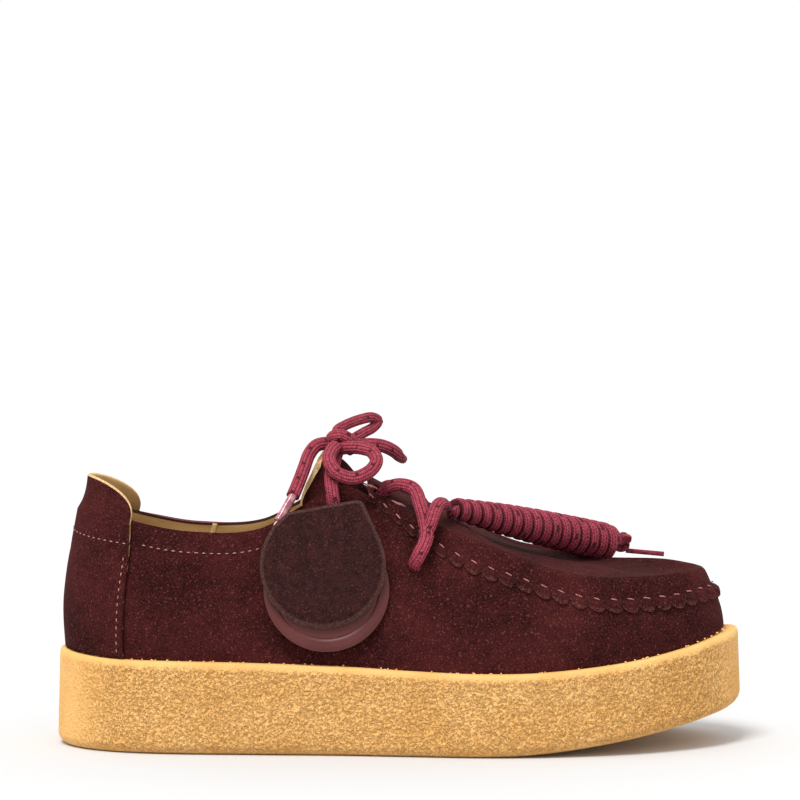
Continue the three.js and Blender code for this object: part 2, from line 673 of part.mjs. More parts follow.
// The strands of the upper pair of eyelets: out of the hole, up past the facing, to the knot.
const STRAND_IN_EYELET = [
  { at: 0.403, climb: 0.84, lift: -4 },
  { at: 0.403, climb: 0.845, lift: 3 },
  { at: 0.4025, climb: 0.875, lift: 7.2 },
  { at: 0.402, climb: 0.95, lift: 8.4 },
];
const STRAND_TO_KNOT = [[-28.9, -30.2, 109], [-28.9, -23.5, 113.5], [-28, -16.5, 118.1], [-27, -10.6, 121.9]];
function makeStrand(side) {
  const low = STRAND_IN_EYELET.map((row) => offUpper(side, turnOf(row.at), row.climb, row.lift));
  const high = STRAND_TO_KNOT.map(([x, y, z]) => new THREE.Vector3(x, -side * y, z));
  return lace([...low, ...high, knotFace(high[high.length - 1])], 7);
}

// The hole in the fob's back leaf that the outer strand comes through.
function strandCutter() {
  const { at, climb } = STRAND_IN_EYELET[1];
  const inside = offUpper(-1, turnOf(at), climb, 1);
  const outside = offUpper(-1, turnOf(at), climb + 0.03, 14);
  const length = outside.distanceTo(inside);
  const cutter = new THREE.CylinderGeometry(EYELET_RADIUS + 0.6, EYELET_RADIUS + 0.6, length, 12);
  const axis = outside.clone().sub(inside).normalize();
  cutter.applyQuaternion(new THREE.Quaternion().setFromUnitVectors(new THREE.Vector3(0, 1, 0), axis));
  const middle = outside.add(inside).multiplyScalar(0.5);
  return toManifold(cutter.translate(middle.x, middle.y, middle.z));
}

// The bow's loops and ends, as laid by hand.
const LOOP_UPPER = [
  [-28.4, 6, 131.2], [-28, 9.4, 132], [-24.4, 13, 133.0], [-18.9, 18, 134.6], [-12.4, 22.6, 135.8],
  [-8.8, 22.6, 134.2], [-10.2, 18.2, 131.2], [-13, 14, 129.2], [-15.8, 11, 128.2],
];
const LOOP_FRONT = [
  [-19.6, -12.6, 126], [-15.1, -17, 126.4], [-9.4, -22.6, 125.4], [-8, -28, 121.8], [-10.4, -31.2, 117.8],
  [-17, -33, 114.5], [-24.2, -32.4, 114], [-29.6, -29, 117.1], [-31.8, -23.2, 121.3], [-31, -18, 124.4],
];
const END_LEFT = [
  [-33.0, -8.2, 126.9], [-35.6, -10.6, 126], [-38.2, -14, 122.8], [-40.2, -19, 117.4], [-42.4, -25, 111.6],
  [-44.6, -31, 106.4],
];
const AGLET_LEFT = [[-44.9, -32, 105.4], [-47.0, -34.2, 101.8], [-48.8, -36.2, 98.6], [-50.4, -37.8, 96.4]];
const END_RIGHT = [
  [-17.2, 3.8, 124.9], [-12, 6.6, 125.3], [-6.8, 10.6, 124.8], [-1.8, 15, 122.6], [1.3, 20.4, 119.4],
  [2.2, 26.4, 116.6], [1.8, 32, 113.8],
];
const AGLET_RIGHT = [[1.7, 32.7, 113.4], [1.0, 37.4, 110], [0.2, 42, 106.2]];
const AGLET_WIDTH = 3.6;
const fromKnot = (rows) => lace([knotFace(vector(rows[0])), ...rows.map(vector)]);

// The spare lace: a wound stick from the lower bar to the inner lip of the plug.
const COIL_TURNS = 17;
const COIL_RADIUS = 7.9;
const COIL_SIDES = 10;
const COIL_START = new THREE.Vector3(19.7, -22, 101.4);
const COIL_REST_AT = 0.83;
const COIL_REST_CLIMB = 1.15;
const COIL_PAST_REST = 13.5;
function coilEnd() {
  const rest = upperPoint(1, turnOf(COIL_REST_AT), COIL_REST_CLIMB);
  rest.z += COIL_RADIUS + 1.6;
  const along = rest.clone().sub(COIL_START).normalize();
  return rest.addScaledVector(along, COIL_PAST_REST);
}

// Radius of the wound stick along its length: it tapers to the end that hooks on the lace.
const COIL_TAPER = [
  { at: 0, radius: 0.5 },
  { at: 0.1, radius: 0.62 },
  { at: 0.3, radius: 0.88 },
  { at: 0.5, radius: 1 },
  { at: 1, radius: 1 },
];
function coilRadius(share) {
  let k = 0;
  while (k < COIL_TAPER.length - 2 && share > COIL_TAPER[k + 1].at) k += 1;
  const t = (share - COIL_TAPER[k].at) / (COIL_TAPER[k + 1].at - COIL_TAPER[k].at);
  return COIL_RADIUS * THREE.MathUtils.lerp(COIL_TAPER[k].radius, COIL_TAPER[k + 1].radius, t);
}

function makeCoil() {
  const end = coilEnd();
  const length = end.distanceTo(COIL_START);
  const profile = [new THREE.Vector2(0, 0)];
  for (let k = 0; k < COIL_TURNS; k += 1) {
    for (const [part, depth] of [[0.04, 1.2], [0.3, 0], [0.7, 0], [0.96, 1.2]]) {
      const share = (k + part) / COIL_TURNS;
      profile.push(new THREE.Vector2(coilRadius(share) - depth, share * length));
    }
  }
  profile.push(new THREE.Vector2(0, length));
  const coil = new THREE.LatheGeometry(profile, COIL_SIDES);
  const along = end.clone().sub(COIL_START).normalize();
  coil.applyQuaternion(new THREE.Quaternion().setFromUnitVectors(new THREE.Vector3(0, 1, 0), along));
  return coil.translate(COIL_START.x, COIL_START.y, COIL_START.z);
}

// The loop that hooks the spare lace round the lower bar, and what ends it.
const SPARE_LOOP = [
  [13.6, -40.6, 95.2], [13.8, -39.6, 98.6], [14.8, -36.6, 101.6], [16.4, -32.4, 103.4], [18.0, -28, 103.4],
  [19, -24.6, 102.6],
];
const SPARE_KNOT_SIZE = 4.3;
const TAIL_WIDTH = 2.2;
const TAIL_LENGTH = 15;
function makeSpareKnot() {
  const along = coilEnd().sub(COIL_START).normalize();
  const middle = coilEnd().addScaledVector(along, SPARE_KNOT_SIZE + CLEARANCE);
  const knot = new THREE.SphereGeometry(SPARE_KNOT_SIZE, 10, 6);
  return knot.rotateX(Math.PI / 2).translate(middle.x, middle.y, middle.z);
}
function makeTail() {
  const along = coilEnd().sub(COIL_START).normalize();
  const start = coilEnd().addScaledVector(along, 2 * SPARE_KNOT_SIZE + 2 * CLEARANCE);
  start.z -= 1.6;
  const points = [0, 0.5, 1].map((share) => start.clone().add(new THREE.Vector3(
    share * TAIL_LENGTH, share, -share * 1.6,
  )));
  return lace(points, 5, TAIL_WIDTH, TAIL_WIDTH);
}

// The fob: two leaves of leather, joined at the top, with the outer strand between them.
const FOB_RADIUS = 26;
const FOB_NECK_HALF = 15;
const FOB_NECK_SLANT = 2.6;
const FOB_NECK_RISE = 24.5;
const FOB_THICKNESS = 2;
const FOB_MIDDLE = { x: -31.8, z: 79 };
const FOB_BACK_DROP = 10.2;
const FOB_BACK_SHIFT = 1.4;
const FOB_BACK_TILT = THREE.MathUtils.degToRad(10);
const FOB_FRONT_TILT = THREE.MathUtils.degToRad(4.2);
const FOB_BACK = { x: FOB_MIDDLE.x + FOB_BACK_SHIFT, z: FOB_MIDDLE.z - FOB_BACK_DROP };

// One leaf's outline: a round disc with a neck that ends in a short, slanted top edge.
function leafOutline(neckHalf, neckRise, rightAngle, leftAngle) {
  const outline = new THREE.Shape();
  const right = THREE.MathUtils.degToRad(rightAngle);
  const left = THREE.MathUtils.degToRad(leftAngle);
  outline.moveTo(FOB_RADIUS * Math.cos(right), FOB_RADIUS * Math.sin(right));
  outline.lineTo(neckHalf + 1.6, neckRise + FOB_NECK_SLANT - 1);
  outline.lineTo(neckHalf - 0.6, neckRise + FOB_NECK_SLANT);
  outline.lineTo(0.6 - neckHalf, neckRise - FOB_NECK_SLANT);
  outline.lineTo(FOB_RADIUS * Math.cos(left), FOB_RADIUS * Math.sin(left));
  outline.absarc(0, 0, FOB_RADIUS, left, 2 * Math.PI + right, false);
  return outline;
}

// The back leaf's plane just clears the upper: its depth at the leaf's middle height.
function backLeafDepth() {
  let depth = Infinity;
  for (let turn = 0.28; turn < 0.52; turn += 0.008) {
    for (let climb = 0; climb <= 1; climb += 0.04) {
      const p = wallPoint(-1, turn, climb);
      if (Math.hypot(p.x - FOB_BACK.x, p.z - FOB_BACK.z) > FOB_RADIUS + 1) continue;
      depth = Math.min(depth, p.y - (p.z - FOB_BACK.z) * Math.tan(FOB_BACK_TILT));
    }
  }
  return depth - 2 * CLEARANCE;
}

// The front leaf's foot just clears the back leaf's face.
function frontLeafDepth(backDepth) {
  const footZ = FOB_MIDDLE.z - FOB_RADIUS;
  const backFace = backDepth + (footZ - FOB_BACK.z) * Math.tan(FOB_BACK_TILT)
    - FOB_THICKNESS / Math.cos(FOB_BACK_TILT);
  return backFace - 1.5 * CLEARANCE + FOB_RADIUS * Math.tan(FOB_FRONT_TILT);
}

function makeLeaf(outline, tilt, { x, z }, depth) {
  const leaf = new THREE.ExtrudeGeometry(outline, {
    depth: FOB_THICKNESS, bevelEnabled: false, curveSegments: 28,
  });
  leaf.rotateX(Math.PI / 2 - tilt);
  return leaf.translate(x, depth, z);
}

const LEATHER = { suede: 0x4a1f26, dark: 0x3c181e, smooth: 0x6a2f3a };
const LACE_COLOUR = 0x8c2c47;
const TIP_COLOUR = 0xd8a8b4;
const group = new THREE.Group();
function piece(name, geometry, colour, roughness = 0.9, metalness = 0) {
  const material = new THREE.MeshStandardMaterial({ color: colour, roughness, metalness });
  const mesh = new THREE.Mesh(geometry, material);
  mesh.name = name;
  group.add(mesh);
  return mesh;
}

piece('sole', makeSole(), 0xd9a860, 0.85);
piece('insole', makeInsole(), 0xc9a873, 0.8);
piece('upper', makeUpper(), LEATHER.suede, 0.95);
piece('tongue', makeTongue(), LEATHER.dark, 0.95);
piece('moc_seam', makeSeam(), LEATHER.suede, 0.95);
piece('heel_tab', makeHeelTab(), LEATHER.suede, 0.95);
piece('lace_lower_bar', makeLowerBar(), LACE_COLOUR);
piece('lace_strand_outer', makeStrand(-1), LACE_COLOUR);
piece('lace_strand_inner', makeStrand(1), LACE_COLOUR);
piece('lace_knot', makeKnot(), LACE_COLOUR);
piece('bow_loop_upper', fromKnot(LOOP_UPPER), LACE_COLOUR);
piece('bow_loop_front', fromKnot(LOOP_FRONT), LACE_COLOUR);
piece('bow_end_left', fromKnot(END_LEFT), LACE_COLOUR);
piece('bow_end_right', fromKnot(END_RIGHT), LACE_COLOUR);
const makeTip = (points) => lace(points.map(vector), LACE_STEP, AGLET_WIDTH, AGLET_WIDTH);
piece('aglet_left', makeTip(AGLET_LEFT), TIP_COLOUR, 0.3);
piece('aglet_right', makeTip(AGLET_RIGHT), TIP_COLOUR, 0.3);
piece('spare_coil', makeCoil(), LACE_COLOUR);
piece('spare_loop', lace(SPARE_LOOP.map(vector), HOOK_STEP), LACE_COLOUR);
piece('spare_knot', makeSpareKnot(), LACE_COLOUR);
piece('spare_tail', makeTail(), LACE_COLOUR, 0.4);

const backDepth = backLeafDepth();
const frontDepth = frontLeafDepth(backDepth);
const backOutline = leafOutline(FOB_NECK_HALF - 2, FOB_NECK_RISE + FOB_BACK_DROP - 1, 48, 138);
const frontOutline = leafOutline(FOB_NECK_HALF, FOB_NECK_RISE, 24, 136);
let backLeaf = toManifold(makeLeaf(backOutline, FOB_BACK_TILT, FOB_BACK, backDepth));
backLeaf = backLeaf.subtract(strandCutter());
piece('fob_leather', fromManifold(backLeaf), LEATHER.smooth, 0.5);
piece('fob_suede', makeLeaf(frontOutline, FOB_FRONT_TILT, FOB_MIDDLE, frontDepth), LEATHER.suede);

export default group;
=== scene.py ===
"""Right moccasin lace-up shoe in suede on a thick crepe sole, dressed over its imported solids.

Blender units are metres; the shoe's own sizes are in millimetres and are scaled by MM when a
mesh is made. Toe towards +X, outer side of the foot towards -Y, floor at Z 0.
"""
import logging
import math
import random
from dataclasses import dataclass
from enum import Enum, IntEnum
from functools import cached_property, lru_cache
from typing import Callable, NamedTuple, Optional, Sequence

import bpy
from mathutils import Matrix, Vector, noise


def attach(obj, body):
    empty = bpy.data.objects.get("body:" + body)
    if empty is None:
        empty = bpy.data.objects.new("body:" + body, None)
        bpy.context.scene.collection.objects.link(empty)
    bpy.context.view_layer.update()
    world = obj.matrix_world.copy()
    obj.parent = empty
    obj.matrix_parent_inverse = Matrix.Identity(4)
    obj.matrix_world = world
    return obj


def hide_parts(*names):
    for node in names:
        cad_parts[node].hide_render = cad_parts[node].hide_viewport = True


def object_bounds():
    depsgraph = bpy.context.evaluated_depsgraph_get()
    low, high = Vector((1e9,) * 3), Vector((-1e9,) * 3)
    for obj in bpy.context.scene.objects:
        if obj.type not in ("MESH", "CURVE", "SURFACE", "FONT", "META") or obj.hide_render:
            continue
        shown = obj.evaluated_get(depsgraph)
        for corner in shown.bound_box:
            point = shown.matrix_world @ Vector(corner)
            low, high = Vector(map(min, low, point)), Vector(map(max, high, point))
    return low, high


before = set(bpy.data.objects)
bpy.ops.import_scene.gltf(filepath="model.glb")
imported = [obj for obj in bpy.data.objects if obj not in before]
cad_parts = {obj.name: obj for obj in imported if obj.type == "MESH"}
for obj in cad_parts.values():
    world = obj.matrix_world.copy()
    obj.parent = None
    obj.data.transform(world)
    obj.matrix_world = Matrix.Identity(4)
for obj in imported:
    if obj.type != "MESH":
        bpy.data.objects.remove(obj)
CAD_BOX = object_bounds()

LOG = logging.getLogger("shoe")
MM = 0.001
Triple = tuple[float, float, float]
Place = Callable[[int, int], Vector]
Wrap = Callable[[int, int], tuple[float, float]]
Line = Callable[[float], Vector]
Stitch = tuple[Vector, Vector, Vector]


class Side(IntEnum):
    """The two long sides of the shoe."""

    OUTER = -1
    INNER = 1

    @property
    def word(self) -> str:
        """Return the side's name as the tables and the nodes write it."""
        return self.name.lower()


class Slot(Enum):
    """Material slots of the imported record."""

    CREPE = "crepe_rubber"
    LINING = "tan_lining"
    SUEDE = "suede"
    SMOOTH = "smooth_leather"
    LACE = "lace"
    AGLET = "aglet"


# Tables of sections


class SoleSection(NamedTuple):
    """One row of the sole: shares of its width, its rim height and its toe spring."""

    at: float
    outer: float
    inner: float
    rim: float
    spring: float


class EdgeSection(NamedTuple):
    """One row of the upper's top edge: shares of its width, its height and its lip."""

    at: float
    outer: float
    inner: float
    outer_top: float
    inner_top: float
    lip: float


class SpineSection(NamedTuple):
    """One row of the plug's centre line: share of the instep height, and depth of its dish."""

    at: float
    top: float
    dish: float


class TongueSection(NamedTuple):
    """One row of the tongue: half width, how its edges fall, and depth below the plug."""

    at: float
    half: float
    back: float
    down: float
    below: float


def turn_of(share: float) -> float:
    """Return the turn, 0 at the heel and 1 at the toe, of a share of the shoe's length."""
    return math.acos(1 - 2 * share) / math.pi


def share_of(turn: float) -> float:
    """Return the share of the shoe's length at a turn."""
    return (1 - math.cos(math.pi * turn)) / 2


def mix(start: float, end: float, share: float) -> float:
    """Return the value a share of the way from start to end."""
    return start + (end - start) * share


def clamp(value: float, low: float = 0.0, high: float = 1.0) -> float:
    """Return the value kept between low and high."""
    return max(low, min(high, value))


def smoothstep(value: float, low: float, high: float) -> float:
    """Return 0 below low, 1 above high and a soft step between them."""
    t = clamp((value - low) / (high - low))
    return t * t * (3 - 2 * t)


def hump(away: float, width: float) -> float:
    """Return 1 at nothing away, falling softly to 0 past a width."""
    return math.exp(-((away / width) ** 2))


# Columns that hold heights, which run level round both ends of the shoe
LEVEL = ("rim", "spring", "outer_top", "inner_top")


class Sections:
    """A table of sections, read on a smooth curve through its rows."""

    def __init__(self, kind: Callable[..., NamedTuple], rows: Sequence[tuple]) -> None:
        """Keep the rows, as sections of one kind, and the turn at which each stands."""
        self.rows = [kind(*row) for row in rows]
        self.places = [turn_of(row.at) for row in self.rows]

    def _slope(self, name: str, k: int) -> float:
        """Return the curve's slope at row k; heights run level round both ends."""
        if k in (0, len(self.rows) - 1) and name in LEVEL:
            return 0.0
        a = max(k - 1, 0)
        b = min(k + 1, len(self.rows) - 1)
        rise = getattr(self.rows[b], name) - getattr(self.rows[a], name)
        return rise / (self.places[b] - self.places[a])

    @lru_cache(maxsize=None)
    def value(self, name: str, turn: float) -> float:
        """Return one column of the table at a turn.

        Args:
            name: The column.
            turn: The turn, 0 at the heel and 1 at the toe.

        Returns:
            The value on the curve through the rows.
        """
        k = 0
        while k < len(self.rows) - 2 and turn > self.places[k + 1]:
            k += 1
        span = self.places[k + 1] - self.places[k]
        t = clamp((turn - self.places[k]) / span)
        start = getattr(self.rows[k], name)
        end = getattr(self.rows[k + 1], name)
        ease = t * t * (3 - 2 * t)
        pull = t * (1 - t) * span
        return start + (end - start) * ease + pull * (
            (1 - t) * self._slope(name, k) - t * self._slope(name, k + 1)
        )


SOLE = Sections(
    SoleSection,
    (
        (0, -0.026, -0.026, 1.0, 0),
        (0.04, -0.252, 0.200, 0.966, 0),
        (0.1, -0.350, 0.298, 0.944, 0),
        (0.18, -0.397, 0.338, 0.938, 0),
        (0.28, -0.415, 0.350, 0.927, 0),
        (0.41, -0.435, 0.362, 0.900, 0),
        (0.52, -0.471, 0.412, 0.860, 0),
        (0.61, -0.499, 0.470, 0.840, 0),
        (0.7, -0.494, 0.501, 0.850, 0.07),
        (0.82, -0.430, 0.484, 0.928, 0.34),
        (0.92, -0.292, 0.386, 1.050, 0.66),
        (0.97, -0.160, 0.264, 1.130, 0.84),
        (1, 0.053, 0.053, 1.180, 1),
    ),
)

EDGE = Sections(
    EdgeSection,
    (
        (0, -0.035, -0.035, 0.862, 0.862, 0),
        (0.04, -0.226, 0.180, 0.855, 0.855, 0),
        (0.1, -0.330, 0.300, 0.818, 0.818, 0),
        (0.18, -0.372, 0.352, 0.791, 0.786, 0),
        (0.28, -0.356, 0.345, 0.799, 0.795, 0),
        (0.36, -0.292, 0.290, 0.894, 0.894, 0.1),
        (0.41, -0.240, 0.240, 0.950, 0.950, 0.1),
        (0.46, -0.272, 0.272, 0.903, 0.905, 0.2),
        (0.52, -0.375, 0.362, 0.804, 0.812, 0.55),
        (0.6, -0.464, 0.445, 0.700, 0.712, 0.9),
        (0.7, -0.497, 0.503, 0.618, 0.624, 1),
        (0.76, -0.484, 0.511, 0.573, 0.602, 1),
        (0.82, -0.455, 0.503, 0.548, 0.574, 1),
        (0.92, -0.310, 0.400, 0.550, 0.576, 1),
        (0.97, -0.165, 0.265, 0.565, 0.576, 1),
        (1, 0.05, 0.05, 0.571, 0.571, 1),
    ),
)

SPINE = Sections(
    SpineSection,
    (
        (0.3, 1.22, 0),
        (0.4, 1.06, 0),
        (0.447, 0.982, 0),
        (0.5, 0.914, 0),
        (0.56, 0.858, 0),
        (0.64, 0.742, 0.5),
        (0.72, 0.678, 1.5),
        (0.8, 0.648, 2),
        (0.86, 0.622, 2),
    ),
)

TONGUE = Sections(
    TongueSection,
    (
        (0.384, 0.180, 0.017, 0.068, 0.6),
        (0.4, 0.215, 0.083, 0.090, 0.8),
        (0.42, 0.245, 0.164, 0.135, 1.4),
        (0.444, 0.262, 0.160, 0.150, 5),
        (0.461, 0.262, 0.110, 0.120, 10),
        (0.5, 0.262, 0.060, 0.090, 10.6),
    ),
)


# The shoe's form


@dataclass(frozen=True)
class Crease:
    """A soft trough or ridge on the upper, between two places on it."""

    side: Side
    start: tuple[float, float]
    end: tuple[float, float]
    width: float
    depth: float


CREASES = (
    Crease(Side.OUTER, (0.585, 0.78), (0.66, 0.30), 8.0, -1.1),
    Crease(Side.OUTER, (0.63, 0.86), (0.72, 0.45), 7.0, 0.8),
    Crease(Side.OUTER, (0.36, 0.10), (0.46, 0.34), 9.0, -0.9),
    Crease(Side.OUTER, (0.17, 0.62), (0.30, 0.40), 10.0, -0.9),
    Crease(Side.INNER, (0.60, 0.80), (0.68, 0.30), 8.0, -1.1),
    Crease(Side.INNER, (0.36, 0.12), (0.48, 0.36), 9.0, -0.9),
    Crease(Side.INNER, (0.18, 0.60), (0.30, 0.38), 10.0, -0.9),
)


@dataclass(frozen=True)
class ShoeForm:
    """The surfaces that every piece of the shoe is laid on, in millimetres."""

    sole_length: float = round((CAD_BOX[1][0] - CAD_BOX[0][0]) / MM, 1)
    ball_width: float = 114.0
    sole_height: float = 41.0
    toe_spring: float = 16.5
    instep_height: float = 116.0
    upper_top_width: float = 86.0
    side_lean: float = 2.5
    setback_side: float = 3.0
    setback_toe: float = 4.5
    heel_lean: float = 5.4
    toe_lean: float = 5.0
    heel_bulge: float = 1.2
    wall_curve: float = 2.3
    wall_curve_toe: float = 1.6
    wall: float = 2.0
    clearance: float = 0.3
    lip_run: float = 6.0
    lip_height: float = 8.0
    throat_at: float = 0.447
    spine_end_at: float = 0.86

    def sole_x(self, turn: float) -> float:
        """Return how far along the shoe a turn of the sole stands."""
        return self.sole_length * (share_of(turn) - 0.5)

    def rim_height(self, turn: float) -> float:
        """Return the height of the sole's rim."""
        return self.sole_height * SOLE.value("rim", turn)

    def spring_height(self, turn: float) -> float:
        """Return how far the sole's bottom stands off the floor."""
        return self.toe_spring * max(0.0, SOLE.value("spring", turn))

    def sole_edge(self, side: Side, turn: float) -> Vector:
        """Return a point of the sole's outline in plan."""
        return Vector((self.sole_x(turn), self.ball_width * SOLE.value(side.word, turn)))

    @staticmethod
    def around_ends(side: Side, turn: float) -> tuple[Side, float]:
        """Return the place that a turn past either end of the shoe means."""
        if turn < 0:
            return Side(-side), -turn
        if turn > 1:
            return Side(-side), 2 - turn
        return side, turn

    def inward(self, side: Side, turn: float) -> Vector:
        """Return the direction in plan from the sole's outline to its inside."""
        ahead = self.sole_edge(*self.around_ends(side, turn + 0.01))
        behind = self.sole_edge(*self.around_ends(side, turn - 0.01))
        along = (ahead - behind).normalized()
        return Vector((-along.y, along.x)) * (1 if side < 0 else -1)

    def sole_inset(self, side: Side, turn: float, inset: float) -> Vector:
        """Return a point in from the sole's outline, in plan."""
        return self.sole_edge(side, turn) + self.inward(side, turn) * inset

    def setback(self, turn: float) -> float:
        """Return how far the upper's foot stands in from the rim of the sole."""
        return mix(self.setback_side, self.setback_toe, smoothstep(turn, 0.75, 1))

    def upper_foot(self, side: Side, turn: float) -> Vector:
        """Return the foot of the upper on the sole."""
        plan = self.sole_inset(side, turn, self.side_lean + self.setback(turn))
        return Vector((plan.x, plan.y, self.rim_height(turn) + self.clearance))

    @cached_property
    def edge_heel_x(self) -> float:
        """Return where the upper's top edge starts at the heel."""
        return self.upper_foot(Side.OUTER, 0.0).x + self.heel_lean

    @cached_property
    def edge_toe_x(self) -> float:
        """Return where the upper's top edge ends at the toe."""
        return self.upper_foot(Side.OUTER, 1.0).x - self.toe_lean

    def edge_x(self, turn: float) -> float:
        """Return how far along the shoe a turn of the top edge stands."""
        return mix(self.edge_heel_x, self.edge_toe_x, share_of(turn))

    def upper_edge(self, side: Side, turn: float) -> Vector:
        """Return a point of the collar, the facing or the moccasin seam."""
        width = EDGE.value(side.word, turn)
        top = EDGE.value(f"{side.word}_top", turn)
        return Vector(
            (self.edge_x(turn), self.upper_top_width * width, self.instep_height * top)
        )

    def edge_middle(self, turn: float) -> float:
        """Return how far across the shoe the middle between its two edges lies."""
        outer = self.upper_edge(Side.OUTER, turn).y
        inner = self.upper_edge(Side.INNER, turn).y
        return (outer + inner) / 2

    def wall_point(self, side: Side, turn: float, rise: float) -> Vector:
        """Return a point of the wall; rise is 0 at the foot and 1 at the edge."""
        foot = self.upper_foot(side, turn)
        edge = self.upper_edge(side, turn)
        power = mix(self.wall_curve, self.wall_curve_toe, smoothstep(turn, 0.7, 1))
        lean = max(rise, 0.0) ** power
        heel = 1 - smoothstep(turn, 0.05, 0.4)
        bulge = self.heel_bulge * heel * math.sin(math.pi * min(1.0, max(0.0, rise) * 1.4))
        point = foot.lerp(edge, lean)
        out = Vector((foot.x - edge.x, foot.y - edge.y)).normalized()
        return Vector(
            (point.x + out.x * bulge, point.y + out.y * bulge, mix(foot.z, edge.z, rise))
        )

    def spine_point(self, turn: float) -> Vector:
        """Return a point of the plug's centre line."""
        throat_x = self.edge_x(turn_of(self.throat_at))
        heel, toe = self.edge_heel_x, self.edge_toe_x
        share = (self.edge_x(turn) - throat_x) / (toe - throat_x)
        x = mix(throat_x, mix(heel, toe, self.spine_end_at), share)
        place = turn_of((x - heel) / (toe - heel))
        height = self.instep_height * SPINE.value("top", place)
        return Vector((x, self.edge_middle(place), height))

    def plug_point(self, side: Side, turn: float, reach: float) -> Vector:
        """Return a point of the plug; reach is 0 at the seam and 1 at the centre line."""
        seam = self.upper_edge(side, turn)
        spine = self.spine_point(turn)
        lip = self.lip_height * EDGE.value("lip", turn)
        dish = SPINE.value("dish", turn) * math.sin(math.pi * reach)
        run = math.hypot(spine.x - seam.x, spine.y - seam.y) * reach
        roll = math.sin(math.pi / 2 * min(1.0, run / self.lip_run))
        point = seam.lerp(spine, reach)
        crown = reach * reach * (3 - 2 * reach) * 0.35 + reach * (2 - reach) * 0.65
        point.z = mix(seam.z, spine.z - lip, crown) + lip * roll - dish
        return point

    def upper_point(self, side: Side, turn: float, climb: float) -> Vector:
        """Return a point of the upper: climb 0 to 1 is the wall, 1 to 2 the plug."""
        side, turn = self.around_ends(side, turn)
        if climb <= 1:
            return self.wall_point(side, turn, climb)
        return self.plug_point(side, turn, climb - 1)

    def upper_out(self, side: Side, turn: float, climb: float) -> Vector:
        """Return the direction straight out of the upper at a place."""
        step = 0.012
        along = self.upper_point(side, turn + step, climb) - self.upper_point(
            side, turn - step, climb
        )
        low = max(1.0, climb - step) if climb > 1 else climb - step
        high = min(2.0, climb + step) if climb > 1 else climb + step
        up = self.upper_point(side, turn, high) - self.upper_point(side, turn, low)
        return along.cross(up).normalized() * (1 if side < 0 else -1)

    def off_upper(self, side: Side, turn: float, climb: float, lift: float) -> Vector:
        """Return a point held off the upper's outer surface."""
        return self.upper_point(side, turn, climb) + self.upper_out(side, turn, climb) * lift

    def tongue_point(self, at: float, across: float) -> Vector:
        """Return a point of the tongue's outer face; across runs from -1 to 1."""
        turn = turn_of(at)
        top = self.instep_height * SPINE.value("top", turn) - TONGUE.value("below", turn)
        fall = abs(across) ** 1.9 * self.instep_height
        half = self.upper_top_width * TONGUE.value("half", turn)
        return Vector(
            (
                self.edge_x(turn) - fall * TONGUE.value("back", turn),
                self.edge_middle(turn) + half * across,
                top - fall * TONGUE.value("down", turn),
            )
        )


FORM = ShoeForm()


# Finishes


class Signal:
    """A number that changes over a surface, with arithmetic that adds Math nodes."""

    def __init__(self, surface: "Surface", socket: bpy.types.NodeSocket) -> None:
        """Wrap one output socket of a surface's nodes."""
        self.surface = surface
        self.socket = socket

    def maths(self, operation: str, *others: "Signal | float") -> "Signal":
        """Return the result of one Math node on this and other values."""
        sockets = {0: self}
        sockets.update({k + 1: other for k, other in enumerate(others)})
        node = self.surface.node("ShaderNodeMath", {"operation": operation}, sockets)
        return Signal(self.surface, node.outputs[0])

    def __add__(self, other: "Signal | float") -> "Signal":
        """Return the sum."""
        return self.maths("ADD", other)

    __radd__ = __add__

    def __mul__(self, other: "Signal | float") -> "Signal":
        """Return the product."""
        return self.maths("MULTIPLY", other)

    __rmul__ = __mul__

    def __sub__(self, other: "Signal | float") -> "Signal":
        """Return the difference."""
        return self.maths("SUBTRACT", other)

    def __rsub__(self, other: "Signal | float") -> "Signal":
        """Return another value less this one."""
        return (self * -1.0) + other

    def sine(self) -> "Signal":
        """Return the sine."""
        return self.maths("SINE")

    def absolute(self) -> "Signal":
        """Return the value without its sign."""
        return self.maths("ABSOLUTE")

    def fraction(self) -> "Signal":
        """Return the part after the point."""
        return self.maths("FRACT")

    def step(self, low: float, high: float) -> "Signal":
        """Return 0 at low, 1 at high and a soft step between them."""
        node = self.surface.node(
            "ShaderNodeMapRange",
            {"interpolation_type": "SMOOTHSTEP"},
            {0: self, 1: low, 2: high, 3: 0.0, 4: 1.0},
        )
        return Signal(self.surface, node.outputs[0])


